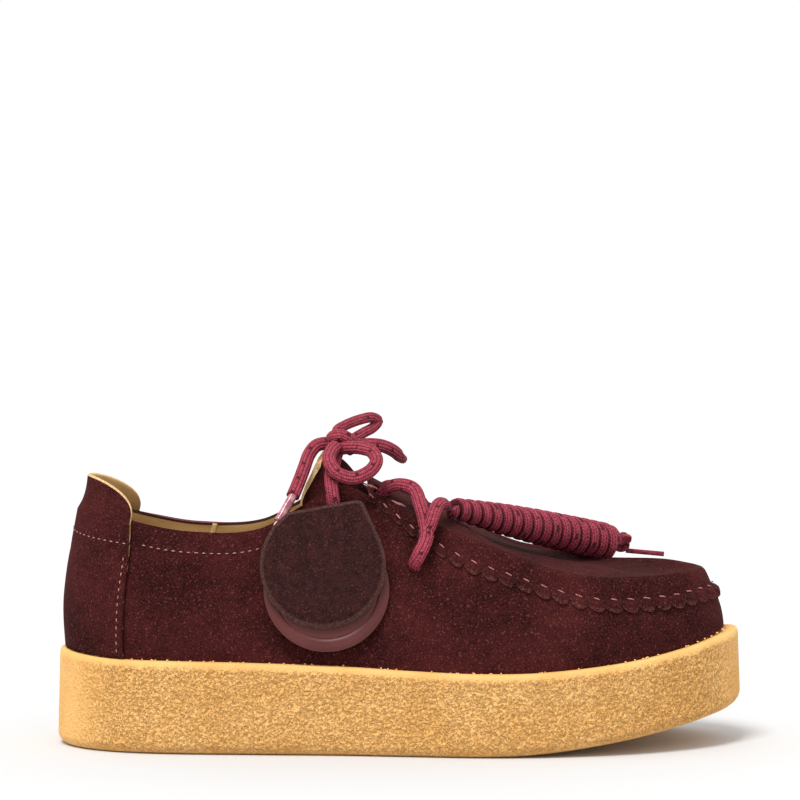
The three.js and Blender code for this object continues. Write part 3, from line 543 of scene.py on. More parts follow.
class Surface:
    """A material under construction, round one Principled BSDF."""

    def __init__(self, name: str) -> None:
        """Start a material with its shader node."""
        self.material = bpy.data.materials.new(name)
        self.material.use_nodes = True
        self.tree = self.material.node_tree
        self.shader = self.tree.nodes["Principled BSDF"]
        self.place = self.node("ShaderNodeTexCoord", {}, {}).outputs["Object"]

    def node(self, kind: str, settings: dict, sockets: dict) -> bpy.types.Node:
        """Add one node.

        Args:
            kind: The node's type.
            settings: Its own settings, set first.
            sockets: Values or links of its inputs, by name or number.

        Returns:
            The new node.
        """
        node = self.tree.nodes.new(kind)
        for name, value in settings.items():
            setattr(node, name, value)
        for key, value in sockets.items():
            self.feed(node.inputs[key], value)
        return node

    def feed(self, socket: bpy.types.NodeSocket, value: object) -> None:
        """Link or set one input socket."""
        if isinstance(value, Signal):
            value = value.socket
        if isinstance(value, bpy.types.NodeSocket):
            self.tree.links.new(value, socket)
        else:
            socket.default_value = value

    def noise(self, scale: float, detail: float = 2.0) -> Signal:
        """Return a noise pattern.

        Args:
            scale: Patches in a metre.
            detail: How many finer layers it has.

        Returns:
            The pattern, about 0 to 1.
        """
        sockets = {"Vector": self.place, "Scale": scale, "Detail": detail}
        node = self.node("ShaderNodeTexNoise", {}, sockets)
        return Signal(self, node.outputs[0])

    def cells(self, scale: float) -> Signal:
        """Return the distance to the nearest of many scattered points."""
        node = self.node("ShaderNodeTexVoronoi", {}, {"Vector": self.place, "Scale": scale})
        return Signal(self, node.outputs["Distance"])

    def attribute(self, name: str) -> Signal:
        """Return a number kept on the piece's points."""
        node = self.node("ShaderNodeAttribute", {"attribute_name": name}, {})
        return Signal(self, node.outputs["Fac"])

    def unwrap(self) -> tuple[Signal, Signal]:
        """Return the two directions of the piece's own UV map."""
        uv = self.node("ShaderNodeUVMap", {}, {}).outputs[0]
        parts = self.node("ShaderNodeSeparateXYZ", {}, {0: uv})
        return Signal(self, parts.outputs[0]), Signal(self, parts.outputs[1])

    def blend(self, share: Signal, start: object, end: object) -> bpy.types.NodeSocket:
        """Return the colour a share of the way from start to end."""
        node = self.node("ShaderNodeMix", {"data_type": "RGBA"}, {0: share, 6: start, 7: end})
        return node.outputs[2]

    def bump(self, height: Signal, depth: float, strength: float = 1.0) -> None:
        """Feed the shader's normal from a height.

        Args:
            height: The height, about 0 to 1.
            depth: What a height of 1 stands for, in metres.
            strength: How much of it shows.
        """
        sockets = {"Height": height, "Distance": depth, "Strength": strength}
        node = self.node("ShaderNodeBump", {}, sockets)
        self.feed(self.shader.inputs["Normal"], node.outputs[0])

    def set(self, **values: object) -> None:
        """Set or link inputs of the shader, with _ for the spaces in their names."""
        for name, value in values.items():
            self.feed(self.shader.inputs[name.replace("_", " ")], value)


def paint(red: int, green: int, blue: int) -> tuple[float, float, float, float]:
    """Return a colour given as it looks on a screen, 0 to 255, in the shader's own scale."""

    def line(level: int) -> float:
        """Return one channel without the screen's curve."""
        v = level / 255
        return v / 12.92 if v <= 0.04045 else ((v + 0.055) / 1.055) ** 2.4

    return (line(red), line(green), line(blue), 1.0)


@dataclass(frozen=True)
class Suede:
    """Napped leather: mottled, with pale fibre ends and no gloss."""

    name: str = "suede_nap"
    dark: tuple = paint(24, 7, 8)
    light: tuple = paint(76, 31, 30)
    fibre: tuple = paint(132, 82, 78)
    nap_scale: float = 1500.0
    bloom: tuple = paint(190, 120, 125)
    sheen: float = 0.03

    def make(self) -> bpy.types.Material:
        """Return the material."""
        s = Surface(self.name)
        patches = s.noise(26.0, 4.0).step(0.34, 0.66)
        mottle = s.noise(190.0, 3.0).step(0.3, 0.7)
        grain = s.noise(self.nap_scale, 1.5)
        tone = patches * 0.34 + mottle * 0.2 + grain.step(0.38, 0.62) * 0.46
        base = s.blend(tone, self.dark, self.light)
        specks = s.noise(self.nap_scale, 0.0).step(0.70, 0.80)
        fuzz = s.attribute("rim") * 0.6 * grain.step(0.3, 0.6)
        s.set(
            Base_Color=s.blend(specks * 0.35 + fuzz, base, self.fibre),
            Roughness=0.96,
            Sheen_Weight=self.sheen,
            Sheen_Roughness=0.5,
            Sheen_Tint=self.bloom,
            Specular_IOR_Level=0.06,
        )
        s.bump(grain * 0.6 + mottle * 0.4, 0.0005, 0.6)
        return s.material


@dataclass(frozen=True)
class PressedSuede(Suede):
    """Suede of the fob, with a darker pressed rim."""

    name: str = "suede_pressed_rim"
    dark: tuple = paint(28, 12, 12)
    light: tuple = paint(62, 30, 28)
    rim_dark: tuple = paint(56, 36, 33)
    rim_light: tuple = paint(88, 60, 54)
    sheen: float = 0.05

    def make(self) -> bpy.types.Material:
        """Return the material."""
        s = Surface(self.name)
        mottle = s.noise(300.0, 3.0).step(0.3, 0.7)
        grain = s.noise(self.nap_scale, 1.5)
        tone = mottle * 0.4 + grain.step(0.38, 0.62) * 0.55
        specks = s.noise(self.nap_scale, 0.0).step(0.70, 0.80)
        base = s.blend(tone, self.dark, self.light)
        nap = s.blend(specks * 0.2, base, self.fibre)
        rim = s.attribute("rim")
        worn = s.blend(grain.step(0.3, 0.7), self.rim_dark, self.rim_light)
        s.set(
            Base_Color=s.blend(rim * 0.7, nap, worn),
            Roughness=0.93,
            Sheen_Weight=self.sheen,
            Sheen_Tint=self.bloom,
            Specular_IOR_Level=0.15,
        )
        s.bump(grain * 0.6 + mottle * 0.4, 0.0005, 0.6)
        return s.material


@dataclass(frozen=True)
class SmoothLeather:
    """Smooth finished leather with a fine grain."""

    name: str
    dark: tuple
    light: tuple
    roughness: float = 0.5
    depth: float = 0.00015
    cuff: tuple = paint(58, 26, 25)

    def make(self) -> bpy.types.Material:
        """Return the material."""
        s = Surface(self.name)
        cloud = s.noise(60.0, 3.0).step(0.3, 0.7)
        pores = s.cells(1300.0)
        fine = s.noise(2400.0, 2.0)
        turned = s.attribute("cuff").step(0.55, 0.68)
        face = s.blend(cloud * 0.6 + fine * 0.4, self.dark, self.light)
        s.set(
            Base_Color=s.blend(turned, face, self.cuff),
            Roughness=fine * 0.16 + (self.roughness - 0.08),
            Specular_IOR_Level=0.35,
        )
        s.bump(pores * 0.6 + fine * 0.4, self.depth, 0.7)
        return s.material


@dataclass(frozen=True)
class RawEdge:
    """The cut edge of leather, rough and pale."""

    name: str
    dark: tuple
    light: tuple
    scale: float = 1600.0
    detail: float = 3.0
    roughness: float = 0.95
    gloss: float = 0.1
    depth: float = 0.0003
    strength: float = 0.7

    def make(self) -> bpy.types.Material:
        """Return the material."""
        s = Surface(self.name)
        fibres = s.noise(self.scale, self.detail)
        s.set(
            Base_Color=s.blend(fibres.step(0.3, 0.7), self.dark, self.light),
            Roughness=self.roughness,
            Specular_IOR_Level=self.gloss,
        )
        s.bump(fibres, self.depth, self.strength)
        return s.material


@dataclass(frozen=True)
class Thread(RawEdge):
    """Sewing thread, twisted and matt: fibre like a raw edge's, but finer."""

    scale: float = 2600.0
    detail: float = 2.0
    roughness: float = 0.7
    gloss: float = 0.3
    depth: float = 0.0001
    strength: float = 0.6


@dataclass(frozen=True)
class Crepe:
    """Crepe rubber: a wormy skin whose pits carry painted shade, as rough as the piece's points
    say.
    """

    name: str = "crepe_rubber"
    worm: tuple = paint(237, 185, 115)
    cloudy: tuple = paint(228, 173, 101)
    # Colour of the painted shade in the pits; the random worn patches are tinted towards it too.
    pit_shade: tuple = paint(164, 112, 54)

    def make(self) -> bpy.types.Material:
        """Return the material."""
        s = Surface(self.name)
        rough = s.attribute("rough")
        cloud = s.noise(55.0, 2.0).step(0.3, 0.7)
        fine = s.noise(2300.0, 2.0)
        skin = s.noise(820.0, 1.0)
        # Painted shade: blotches and thin strokes in the pits are darkened as if in shadow.
        blot = 1.0 - skin.step(0.36, 0.46)
        stroke = 1.0 - (s.noise(560.0, 1.0) - 0.48).absolute().step(0.015, 0.075)
        pit_shade = (blot * 0.8 + stroke * skin.step(0.4, 0.52) * 0.7) * rough
        worn = s.noise(310.0, 2.0).step(0.35, 0.6) * rough * 0.08
        body = s.blend(cloud, self.worm, self.cloudy)
        s.set(
            Base_Color=s.blend(pit_shade * 0.75 + worn, body, self.pit_shade),
            Roughness=0.78,
            Specular_IOR_Level=0.2,
        )
        s.bump(skin * rough * 1.4 - pit_shade * 0.4 + fine * 0.2, 0.0012, 0.9)
        return s.material


@dataclass(frozen=True)
class WovenLace:
    """A braided lace: lengthwise ribs with painted shade in the grooves between them, a chevron
    weave and short dark tracer flecks.

    The piece's UV map holds the way along in millimetres and the share round it.
    """

    name: str = "braided_lace"
    # Painted shade: the dark colour of the grooves between the ribs.
    groove: tuple = paint(46, 14, 24)
    dark: tuple = paint(92, 24, 38)
    light: tuple = paint(178, 73, 89)
    fleck: tuple = paint(44, 20, 24)
    ribs: float = 12.0
    stitch: float = 1.0
    fleck_pitch: float = 8.5
    fleck_share: float = 0.85
    side_shade: float = 0.0

    def make(self) -> bpy.types.Material:
        """Return the material."""
        s = Surface(self.name)
        along, around = s.unwrap()
        rib = (around * self.ribs).fraction()
        ridge = (rib * math.pi).sine()
        face = ridge.step(0.0, 0.5)
        row = (around * self.ribs).maths("FLOOR")
        twist = (row * 0.5).fraction() * 4.0 - 1.0
        slope = (rib - 0.5) * twist * 0.8
        weave = ((along * (1 / self.stitch) + slope).fraction() * math.pi).sine()
        wear = s.noise(800.0, 2.0).step(0.3, 0.7)
        yarn = s.blend(weave * 0.55 + wear * 0.45, self.dark, self.light)
        lane = 1.0 - (row * (1 / 3) + 1 / 6).fraction().step(0.25, 0.32)
        spot = ((along * (1 / self.fleck_pitch) + row * (0.55 / 3)).fraction() - 0.5).absolute()
        gaps = s.noise(260.0, 0.0).step(0.38, 0.46)
        mark = (1.0 - spot.step(0.07, 0.1)) * lane * gaps * ridge.step(0.1, 0.4)
        # Painted shade: the grooves take the groove colour, and side_shade darkens the lace's sides
        # as if shaded by the next turns of a coil.
        outer = ((around - 0.5).absolute() * 2.0).step(0.58, 0.74)
        shown = face * (1.0 - (1.0 - outer) * self.side_shade)
        ribs_with_painted_shade = s.blend(shown, self.groove, yarn)
        s.set(
            Base_Color=s.blend(mark * self.fleck_share, ribs_with_painted_shade, self.fleck),
            Roughness=0.8,
            Specular_IOR_Level=0.15,
        )
        s.bump(ridge * 0.6 + weave * 0.4, 0.0004, 0.9)
        return s.material


@dataclass(frozen=True)
class ClearTip:
    """The clear pinkish plastic of a lace tip, with the lace showing through."""

    name: str = "clear_tip"
    dark: tuple = paint(136, 66, 78)
    light: tuple = paint(186, 122, 132)

    def make(self) -> bpy.types.Material:
        """Return the material."""
        s = Surface(self.name)
        cloud = s.noise(420.0, 2.0).step(0.3, 0.7)
        s.set(
            Base_Color=s.blend(cloud, self.dark, self.light),
            Roughness=0.22,
            Coat_Weight=0.5,
            Coat_Roughness=0.12,
        )
        s.bump(cloud, 0.0002, 0.4)
        return s.material


class Wardrobe:
    """Every finish of the shoe, each made once."""

    def __init__(self) -> None:
        """Make the finishes."""
        self.suede = Suede().make()
        self.pressed = PressedSuede().make()
        self.lining = SmoothLeather(
            "tan_lining", paint(162, 126, 76), paint(190, 152, 98), roughness=0.6
        ).make()
        self.insole = SmoothLeather(
            "insole_leather", paint(186, 150, 96), paint(212, 178, 124), roughness=0.58
        ).make()
        self.fob = SmoothLeather(
            "fob_leather", paint(74, 28, 26), paint(91, 37, 34), roughness=0.45, depth=0.0001
        ).make()
        self.raw_tan = RawEdge("raw_edge_tan", paint(186, 146, 96), paint(222, 190, 144)).make()
        self.raw_red = RawEdge("raw_edge_red", paint(70, 30, 36), paint(120, 66, 70)).make()
        self.crepe = Crepe().make()
        self.lace = WovenLace().make()
        self.seam_thread = Thread("seam_thread", paint(130, 68, 68), paint(190, 126, 122)).make()
        self.pale_thread = Thread("pale_thread", paint(140, 96, 84), paint(196, 152, 132)).make()
        self.frayed = Thread("frayed_end", paint(206, 160, 164), paint(240, 218, 218)).make()
        self.wound = WovenLace(name="wound_lace", fleck_pitch=13.0, side_shade=0.8).make()
        self.tip = ClearTip().make()


# Mesh helpers


def deselect() -> None:
    """Leave nothing selected."""
    if bpy.context.object is not None and bpy.context.object.mode != "OBJECT":
        bpy.ops.object.mode_set(mode="OBJECT")
    bpy.ops.object.select_all(action="DESELECT")


def activate(piece: bpy.types.Object) -> None:
    """Make one piece the only selected and active one."""
    deselect()
    piece.select_set(True)
    bpy.context.view_layer.objects.active = piece


def apply_modifier(piece: bpy.types.Object, kind: str, **settings: object) -> None:
    """Add one modifier to a piece and apply it.

    Args:
        piece: The piece.
        kind: The modifier's type.
        settings: The modifier's own settings.
    """
    activate(piece)
    modifier = piece.modifiers.new(kind.lower(), kind)
    for name, value in settings.items():
        setattr(modifier, name, value)
    bpy.ops.object.modifier_apply(modifier=modifier.name)


def edit_mesh(piece: bpy.types.Object, *steps: Callable[[], object]) -> None:
    """Run mesh operators, one after the other, on all of a piece."""
    activate(piece)
    bpy.ops.object.mode_set(mode="EDIT")
    bpy.ops.mesh.select_all(action="SELECT")
    for step in steps:
        step()
    bpy.ops.object.mode_set(mode="OBJECT")


def merge_doubles(piece: bpy.types.Object, distance: float = 1e-6) -> None:
    """Join the points of a piece that lie in one place."""
    edit_mesh(
        piece,
        lambda: bpy.ops.mesh.remove_doubles(threshold=distance),
        lambda: bpy.ops.mesh.dissolve_degenerate(threshold=distance),
    )


def face_out(piece: bpy.types.Object) -> None:
    """Turn the faces of a piece outwards."""
    edit_mesh(piece, lambda: bpy.ops.mesh.normals_make_consistent(inside=False))


def thicken(piece: bpy.types.Object, thickness: float, inside: int = 1, rim: int = 2) -> None:
    """Give a sheet its thickness, inwards from its outer face.

    Args:
        piece: The sheet.
        thickness: In millimetres.
        inside: How many finishes further on the inner face's finish is.
        rim: How many finishes further on the cut edge's finish is.
    """
    apply_modifier(
        piece,
        "SOLIDIFY",
        thickness=thickness * MM,
        offset=-1,
        material_offset=inside,
        material_offset_rim=rim,
    )


def smooth_by_angle(piece: bpy.types.Object, degrees: float) -> None:
    """Shade a piece smooth, except over edges that turn by more than an angle."""
    activate(piece)
    bpy.ops.object.shade_smooth_by_angle(angle=math.radians(degrees))


@dataclass
class Net:
    """A sheet of rows and columns, laid by a function from a grid primitive."""

    name: str
    rows: int
    columns: int
    place: Place
    wrap: Optional[Wrap] = None
    marks: Optional[dict[str, Callable[[int, int], float]]] = None

    def make(self) -> bpy.types.Object:
        """Return the sheet; its face looks along its columns turned towards its rows."""
        deselect()
        bpy.ops.mesh.primitive_grid_add(
            x_subdivisions=self.columns - 1,
            y_subdivisions=self.rows - 1,
            size=1,
            calc_uvs=True,
            location=(0, 0, 0),
        )
        piece = bpy.context.object
        piece.name = self.name
        mesh = piece.data
        mesh.name = self.name
        flat: list[float] = []
        for r in range(self.rows):
            for c in range(self.columns):
                flat.extend(self.place(r, c) * MM)
        mesh.vertices.foreach_set("co", flat)
        for mark, value in (self.marks or {}).items():
            layer = mesh.attributes.new(mark, "FLOAT", "POINT")
            layer.data.foreach_set(
                "value", [value(r, c) for r in range(self.rows) for c in range(self.columns)]
            )
        if self.wrap is not None:
            self._unwrap(mesh)
        merge_doubles(piece)
        activate(piece)
        bpy.ops.object.shade_smooth()
        return piece

    def _unwrap(self, mesh: bpy.types.Mesh) -> None:
        """Write the sheet's own UV map."""
        corners: list[float] = []
        for loop in mesh.loops:
            r, c = divmod(loop.vertex_index, self.columns)
            corners.extend(self.wrap(r, c))
        mesh.uv_layers.active.data.foreach_set("uv", corners)


def dress(piece: bpy.types.Object, *finishes: bpy.types.Material) -> None:
    """Give a piece its finishes, the first for its own faces."""
    piece.data.materials.clear()
    for finish in finishes:
        piece.data.materials.append(finish)


def join(name: str, pieces: Sequence[bpy.types.Object]) -> bpy.types.Object:
    """Join pieces into one named piece with its own mesh."""
    deselect()
    for piece in pieces:
        piece.select_set(True)
    bpy.context.view_layer.objects.active = pieces[0]
    bpy.ops.object.join()
    joined = bpy.context.object
    joined.name = name
    joined.data.name = name
    return joined


def settle(piece: bpy.types.Object, slot: Slot, *nodes: str) -> None:
    """Let a piece ride on the shoe, in place of the CAD nodes it stands for.

    Args:
        piece: The piece.
        slot: The record's material slot; not used.
        nodes: The CAD nodes that it replaces.
    """
    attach(piece, "root")
    if nodes:
        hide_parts(*nodes)
    LOG.info("%s: %d faces", piece.name, len(piece.data.polygons))


def loop_place(column: int, half: int) -> tuple[Side, float]:
    """Return side and turn of a column round the shoe: heel, outer side, toe, inner side."""
    if column <= half:
        return Side.OUTER, column / half
    return Side.INNER, (2 * half - column) / half


# Sole and insole


@dataclass
class CrepeSole:
    """The thick crepe sole: wormy sides, a smooth bevelled lip and a rounded bottom edge."""

    half: int = 560
    side_rows: int = 52
    edge_radius: float = 5.0
    bevel_width: float = 1.4
    bevel_height: float = 2.6
    worm_pitch: float = 1.6
    relief: float = 0.4
    lip: float = 1.4
    lip_fade: float = 2.2
    lean: float = 0.9
    edge_steps: int = 6
    bevel_steps: int = 4
    calm_lip: float = 0.15
    calm_foot: float = 0.5
    calm_heel: float = 0.25
    calm_toe: float = 0.45
    plain_foot: float = 2.0
    shelf: tuple[float, float] = (0.25, 1.0)

    def worms(self, point: Vector) -> float:
        """Return 0 on a worm of the crepe and 1 in the middle of a pit."""
        level = abs(noise.noise(point / self.worm_pitch)) * 1.3
        return smoothstep(level, 0.1, 0.6)

    def rough(self, turn: float, height: float) -> float:
        """Return how much of the relief shows at a place, less at the ends and the lip."""
        rim = FORM.rim_height(turn)
        near_lip = smoothstep(height, rim - self.lip - self.lip_fade, rim - self.lip)
        lip = mix(self.calm_lip, 1.0, 1 - near_lip)
        foot = mix(self.calm_foot, 1.0, smoothstep(height - FORM.spring_height(turn), 0.4, 3.0))
        heel = mix(self.calm_heel, 1.0, smoothstep(turn, 0.09, 0.21))
        toe = mix(self.calm_toe, 1.0, 1 - smoothstep(turn, 0.84, 0.95))
        return lip * foot * heel * toe

    def profile(self, turn: float) -> list[tuple[float, float]]:
        """Return inset and height of each row of the side, from the bottom to the lip."""
        spring = FORM.spring_height(turn)
        rim = FORM.rim_height(turn)
        rows = []
        for k in range(self.edge_steps + 1):
            angle = math.pi / 2 * k / self.edge_steps
            inset = self.edge_radius * (1 - math.sin(angle))
            rows.append((inset, spring + self.edge_radius * (1 - math.cos(angle))))
        low = spring + self.edge_radius
        high = rim - self.bevel_height
        for k in range(1, self.side_rows + 1):
            share = k / self.side_rows
            rows.append((self.lean * share, mix(low, high, share)))
        for k in range(1, self.bevel_steps + 1):
            angle = math.pi / 2 * k / self.bevel_steps
            inset = self.lean + self.bevel_width * (1 - math.cos(angle))
            rows.append((inset, high + self.bevel_height * math.sin(angle)))
        return rows

    def middle(self, turn: float, point: Vector, share: float) -> Vector:
        """Return a place between a point of the outline and the sole's centre line."""
        top = point.z > FORM.sole_height / 2
        inset = self.lean + self.bevel_width if top else self.edge_radius
        outer = FORM.sole_inset(Side.OUTER, turn, inset)
        inner = FORM.sole_inset(Side.INNER, turn, inset)
        plan = Vector((point.x, point.y)).lerp((outer + inner) / 2, share)
        return Vector((plan.x, plan.y, point.z))

    def column(self, side: Side, turn: float) -> list[tuple[Vector, float]]:
        """Return the points of one column, from the bottom's middle to the top's, and their rough.

        Args:
            side: The side of the shoe.
            turn: The turn, 0 at the heel and 1 at the toe.

        Returns:
            Each point, with how much of the relief shows there.
        """
        inward = FORM.inward(side, turn)
        edge = FORM.sole_edge(side, turn)
        column = []
        for inset, height in self.profile(turn):
            plan = edge + inward * inset
            point = Vector((plan.x, plan.y, height))
            rough = self.rough(turn, height)
            if inset <= self.lean and height > FORM.spring_height(turn) + self.plain_foot:
                point.xy = plan + inward * (self.worms(point) * rough * self.relief)
            column.append((point, rough))
        for share in self.shelf:
            column.append((self.middle(turn, column[-1][0], share), 0.0))
            column.insert(0, (self.middle(turn, column[0][0], share), 0.0))
        return column

    def build(self, finishes: Wardrobe) -> None:
        """Make and place the sole."""
        around = range(2 * self.half + 1)
        sides = [self.column(*loop_place(c % (2 * self.half), self.half)) for c in around]
        marks = {"rough": lambda r, c: sides[c][r][1]}
        net = Net("crepe_sole", len(sides[0]), len(sides), lambda r, c: sides[c][r][0], marks=marks)
        sole = net.make()
        dress(sole, finishes.crepe)
        settle(sole, Slot.CREPE, "sole")


@dataclass
class Insole:
    """The covered insole board inside the upper."""

    half: int = 90
    thickness: float = 4.0
    inside: float = 2.9
    crown: float = 0.8
    shares: tuple = (0.0, 0.4, 0.8, 1.0, 1.0, 0.985, 0.94, 0.8, 0.5, 0.2, 0.0)
    lifts: tuple = (0.0, 0.0, 0.0, 0.0, 0.75, 0.95, 1.0, 1.0, 1.0, 1.0, 1.0)

    def build(self, finishes: Wardrobe) -> None:
        """Make and place the insole.

        Args:
            finishes: The shoe's finishes.
        """
        columns = 2 * self.half + 1

        def place(r: int, c: int) -> Vector:
            """Return one point of the board."""
            side, turn = loop_place(c % (2 * self.half), self.half)
            foot = FORM.upper_foot(side, turn)
            rise = self.thickness / (FORM.upper_edge(side, turn).z - foot.z)
            wall = FORM.wall_point(side, turn, rise)
            inward = FORM.inward(side, turn)
            edge = Vector((wall.x + inward.x * self.inside, wall.y + inward.y * self.inside))
            outer = FORM.upper_foot(Side.OUTER, turn)
            inner = FORM.upper_foot(Side.INNER, turn)
            middle = Vector(((outer.x + inner.x) / 2, (outer.y + inner.y) / 2))
            share, lift = self.shares[r], self.lifts[r]
            plan = middle.lerp(edge, share)
            sag = self.crown * (1 - share) if lift == 1.0 else 0.0
            return Vector((plan.x, plan.y, foot.z + lift * self.thickness - sag))

        board = Net("insole_board", len(self.shares), columns, place).make()
        smooth_by_angle(board, 50)
        dress(board, finishes.insole)
        settle(board, Slot.LINING, "insole")


# Upper, tongue and heel tab


@dataclass
class SuedeUpper:
    """The upper: wall and plug in one sheet, lined inside, with punched holes and slots."""

    half: int = 140
    wall_rows: int = 34
    plug_rows: int = 26
    lip: float = 1.2
    lip_climb: float = 1.15
    gather_climb: float = 0.80
    gather_pitch: float = 7.6
    gather_depth: float = 0.16
    eyelets: tuple = ((0.522, 0.74), (0.403, 0.84))
    hole_radius: float = 3.05
    slot: tuple[float, float] = (0.477, 1.39)
    slot_size: Triple = (6.8, 9.5, 14)
    punch_depth: float = 12.0
    start: float = 19 / 40

    def relief(self, side: Side, turn: float, climb: float) -> float:
        """Return how far the leather stands in or out of its plain form."""
        point = FORM.upper_point(side, turn, climb)
        soft = noise.noise(point / 26.0) * 0.55 + noise.noise(point / 11.0) * 0.22
        edge = smoothstep(climb, 0.0, 0.12)
        gather = hump(climb - self.gather_climb, 0.12) * smoothstep(turn, 0.47, 0.56)
        wave = math.sin(point.x / self.gather_pitch * 2 * math.pi + point.y * 0.6)
        ripple = wave * self.gather_depth * gather
        total = soft * edge * (0.6 if climb > 1 else 1.0) + ripple
        if climb > 1:
            front = smoothstep(share_of(turn), 0.52, 0.7)
            total += self.lip * hump(climb - self.lip_climb, 0.08) * front
        for crease in CREASES:
            if crease.side is side and climb <= 1:
                total += self._crease(crease, turn, climb, point)
        return total

    @staticmethod
    def _crease(crease: Crease, turn: float, climb: float, point: Vector) -> float:
        """Return the depth of one crease at a place."""
        start = FORM.upper_point(crease.side, turn_of(crease.start[0]), crease.start[1])
        end = FORM.upper_point(crease.side, turn_of(crease.end[0]), crease.end[1])
        way = end - start
        t = clamp((point - start).dot(way) / way.length_squared)
        away = (point - (start + way * t)).length
        taper = math.sin(math.pi * clamp(0.15 + 0.7 * t))
        return crease.depth * taper * hump(away, crease.width)

    def skin(self, side: Side, turn: float, climb: float) -> Vector:
        """Return a point of the leather's outer face."""
        lift = self.relief(side, turn, climb) * smoothstep(climb, 0.0, 0.1)
        if climb < 1 and abs(climb - 1) < 0.02:
            lift *= 0.5
        return FORM.off_upper(side, turn, climb, lift)

    def wall_net(self) -> bpy.types.Object:
        """Return the wall, all round."""
        columns = 2 * self.half + 1

        def place(r: int, c: int) -> Vector:
            """Return one point of the wall."""
            side, turn = loop_place(c % (2 * self.half), self.half)
            share = r / (self.wall_rows - 1)
            if share == 1.0:
                return FORM.upper_edge(side, turn)
            return self.skin(side, turn, share)

        last = self.wall_rows - 1
        marks = {"cuff": lambda r, c: 1.0 if r == last else 0.45 * (r == last - 1)}
        return Net("upper_wall", self.wall_rows, columns, place, marks=marks).make()

    def plug_net(self) -> bpy.types.Object:
        """Return the plug, from the throat to the toe."""
        first = round(self.start * self.half)
        columns = 2 * (self.half - first) + 1

        def place(r: int, c: int) -> Vector:
            """Return one point of the plug."""
            side, turn = loop_place(first + c, self.half)
            share = r / (self.plug_rows - 1)
            reach = 0.4 * share + 0.6 * share**2.2
            if r == 0:
                return FORM.upper_edge(side, turn)
            if r == self.plug_rows - 1:
                return FORM.spine_point(turn)
            calm = smoothstep(reach, 0.0, 0.08) * (1 - smoothstep(reach, 0.85, 1.0))
            lift = self.relief(side, turn, 1 + reach) * calm
            return FORM.off_upper(side, turn, 1 + reach, lift)

        return Net("upper_plug", self.plug_rows, columns, place).make()

    def cutters(self) -> bpy.types.Object:
        """Return the punches of the four eyelets and the two slots as one piece."""
        parts = []
        for at, climb in self.eyelets:
            for side in Side:
                middle = FORM.upper_point(side, turn_of(at), climb)
                out = FORM.upper_out(side, turn_of(at), climb)
                deselect()
                bpy.ops.mesh.primitive_cylinder_add(
                    vertices=24,
                    radius=self.hole_radius * MM,
                    depth=self.punch_depth * MM,
                    location=middle * MM,
                    rotation=out.to_track_quat("Z", "Y").to_euler(),
                )
                parts.append(bpy.context.object)
        for side in Side:
            middle = FORM.upper_point(side, turn_of(self.slot[0]), self.slot[1])
            deselect()
            bpy.ops.mesh.primitive_cube_add(size=MM, location=middle * MM, scale=self.slot_size)
            parts.append(bpy.context.object)
        return join("punches", parts)

    def build(self, finishes: Wardrobe) -> None:
        """Make and place the upper."""
        upper = join("suede_upper", [self.wall_net(), self.plug_net()])
        merge_doubles(upper, 2e-5)
        dress(upper, finishes.suede, finishes.lining, finishes.raw_red)
        thicken(upper, FORM.wall)
        punches = self.cutters()
        apply_modifier(upper, "BOOLEAN", operation="DIFFERENCE", solver="MANIFOLD", object=punches)
        bpy.data.objects.remove(punches)
        smooth_by_angle(upper, 55)
        settle(upper, Slot.SUEDE, "upper")


@dataclass
class Tongue:
    """The tongue: suede outside, tan lining inside."""

    rows: int = 40
    columns: int = 46
    thickness: float = 2.0

    def build(self, finishes: Wardrobe) -> None:
        """Make and place the tongue."""

        def place(r: int, c: int) -> Vector:
            """Return one point of the tongue's outer face."""
            across = 2 * r / (self.rows - 1) - 1
            at = mix(0.384, 0.5, c / (self.columns - 1))
            return FORM.tongue_point(at, across)

        tongue = Net("tongue_sheet", self.rows, self.columns, place).make()
        dress(tongue, finishes.suede, finishes.lining, finishes.raw_tan)
        thicken(tongue, self.thickness)
        smooth_by_angle(tongue, 45)
        settle(tongue, Slot.SUEDE, "tongue")


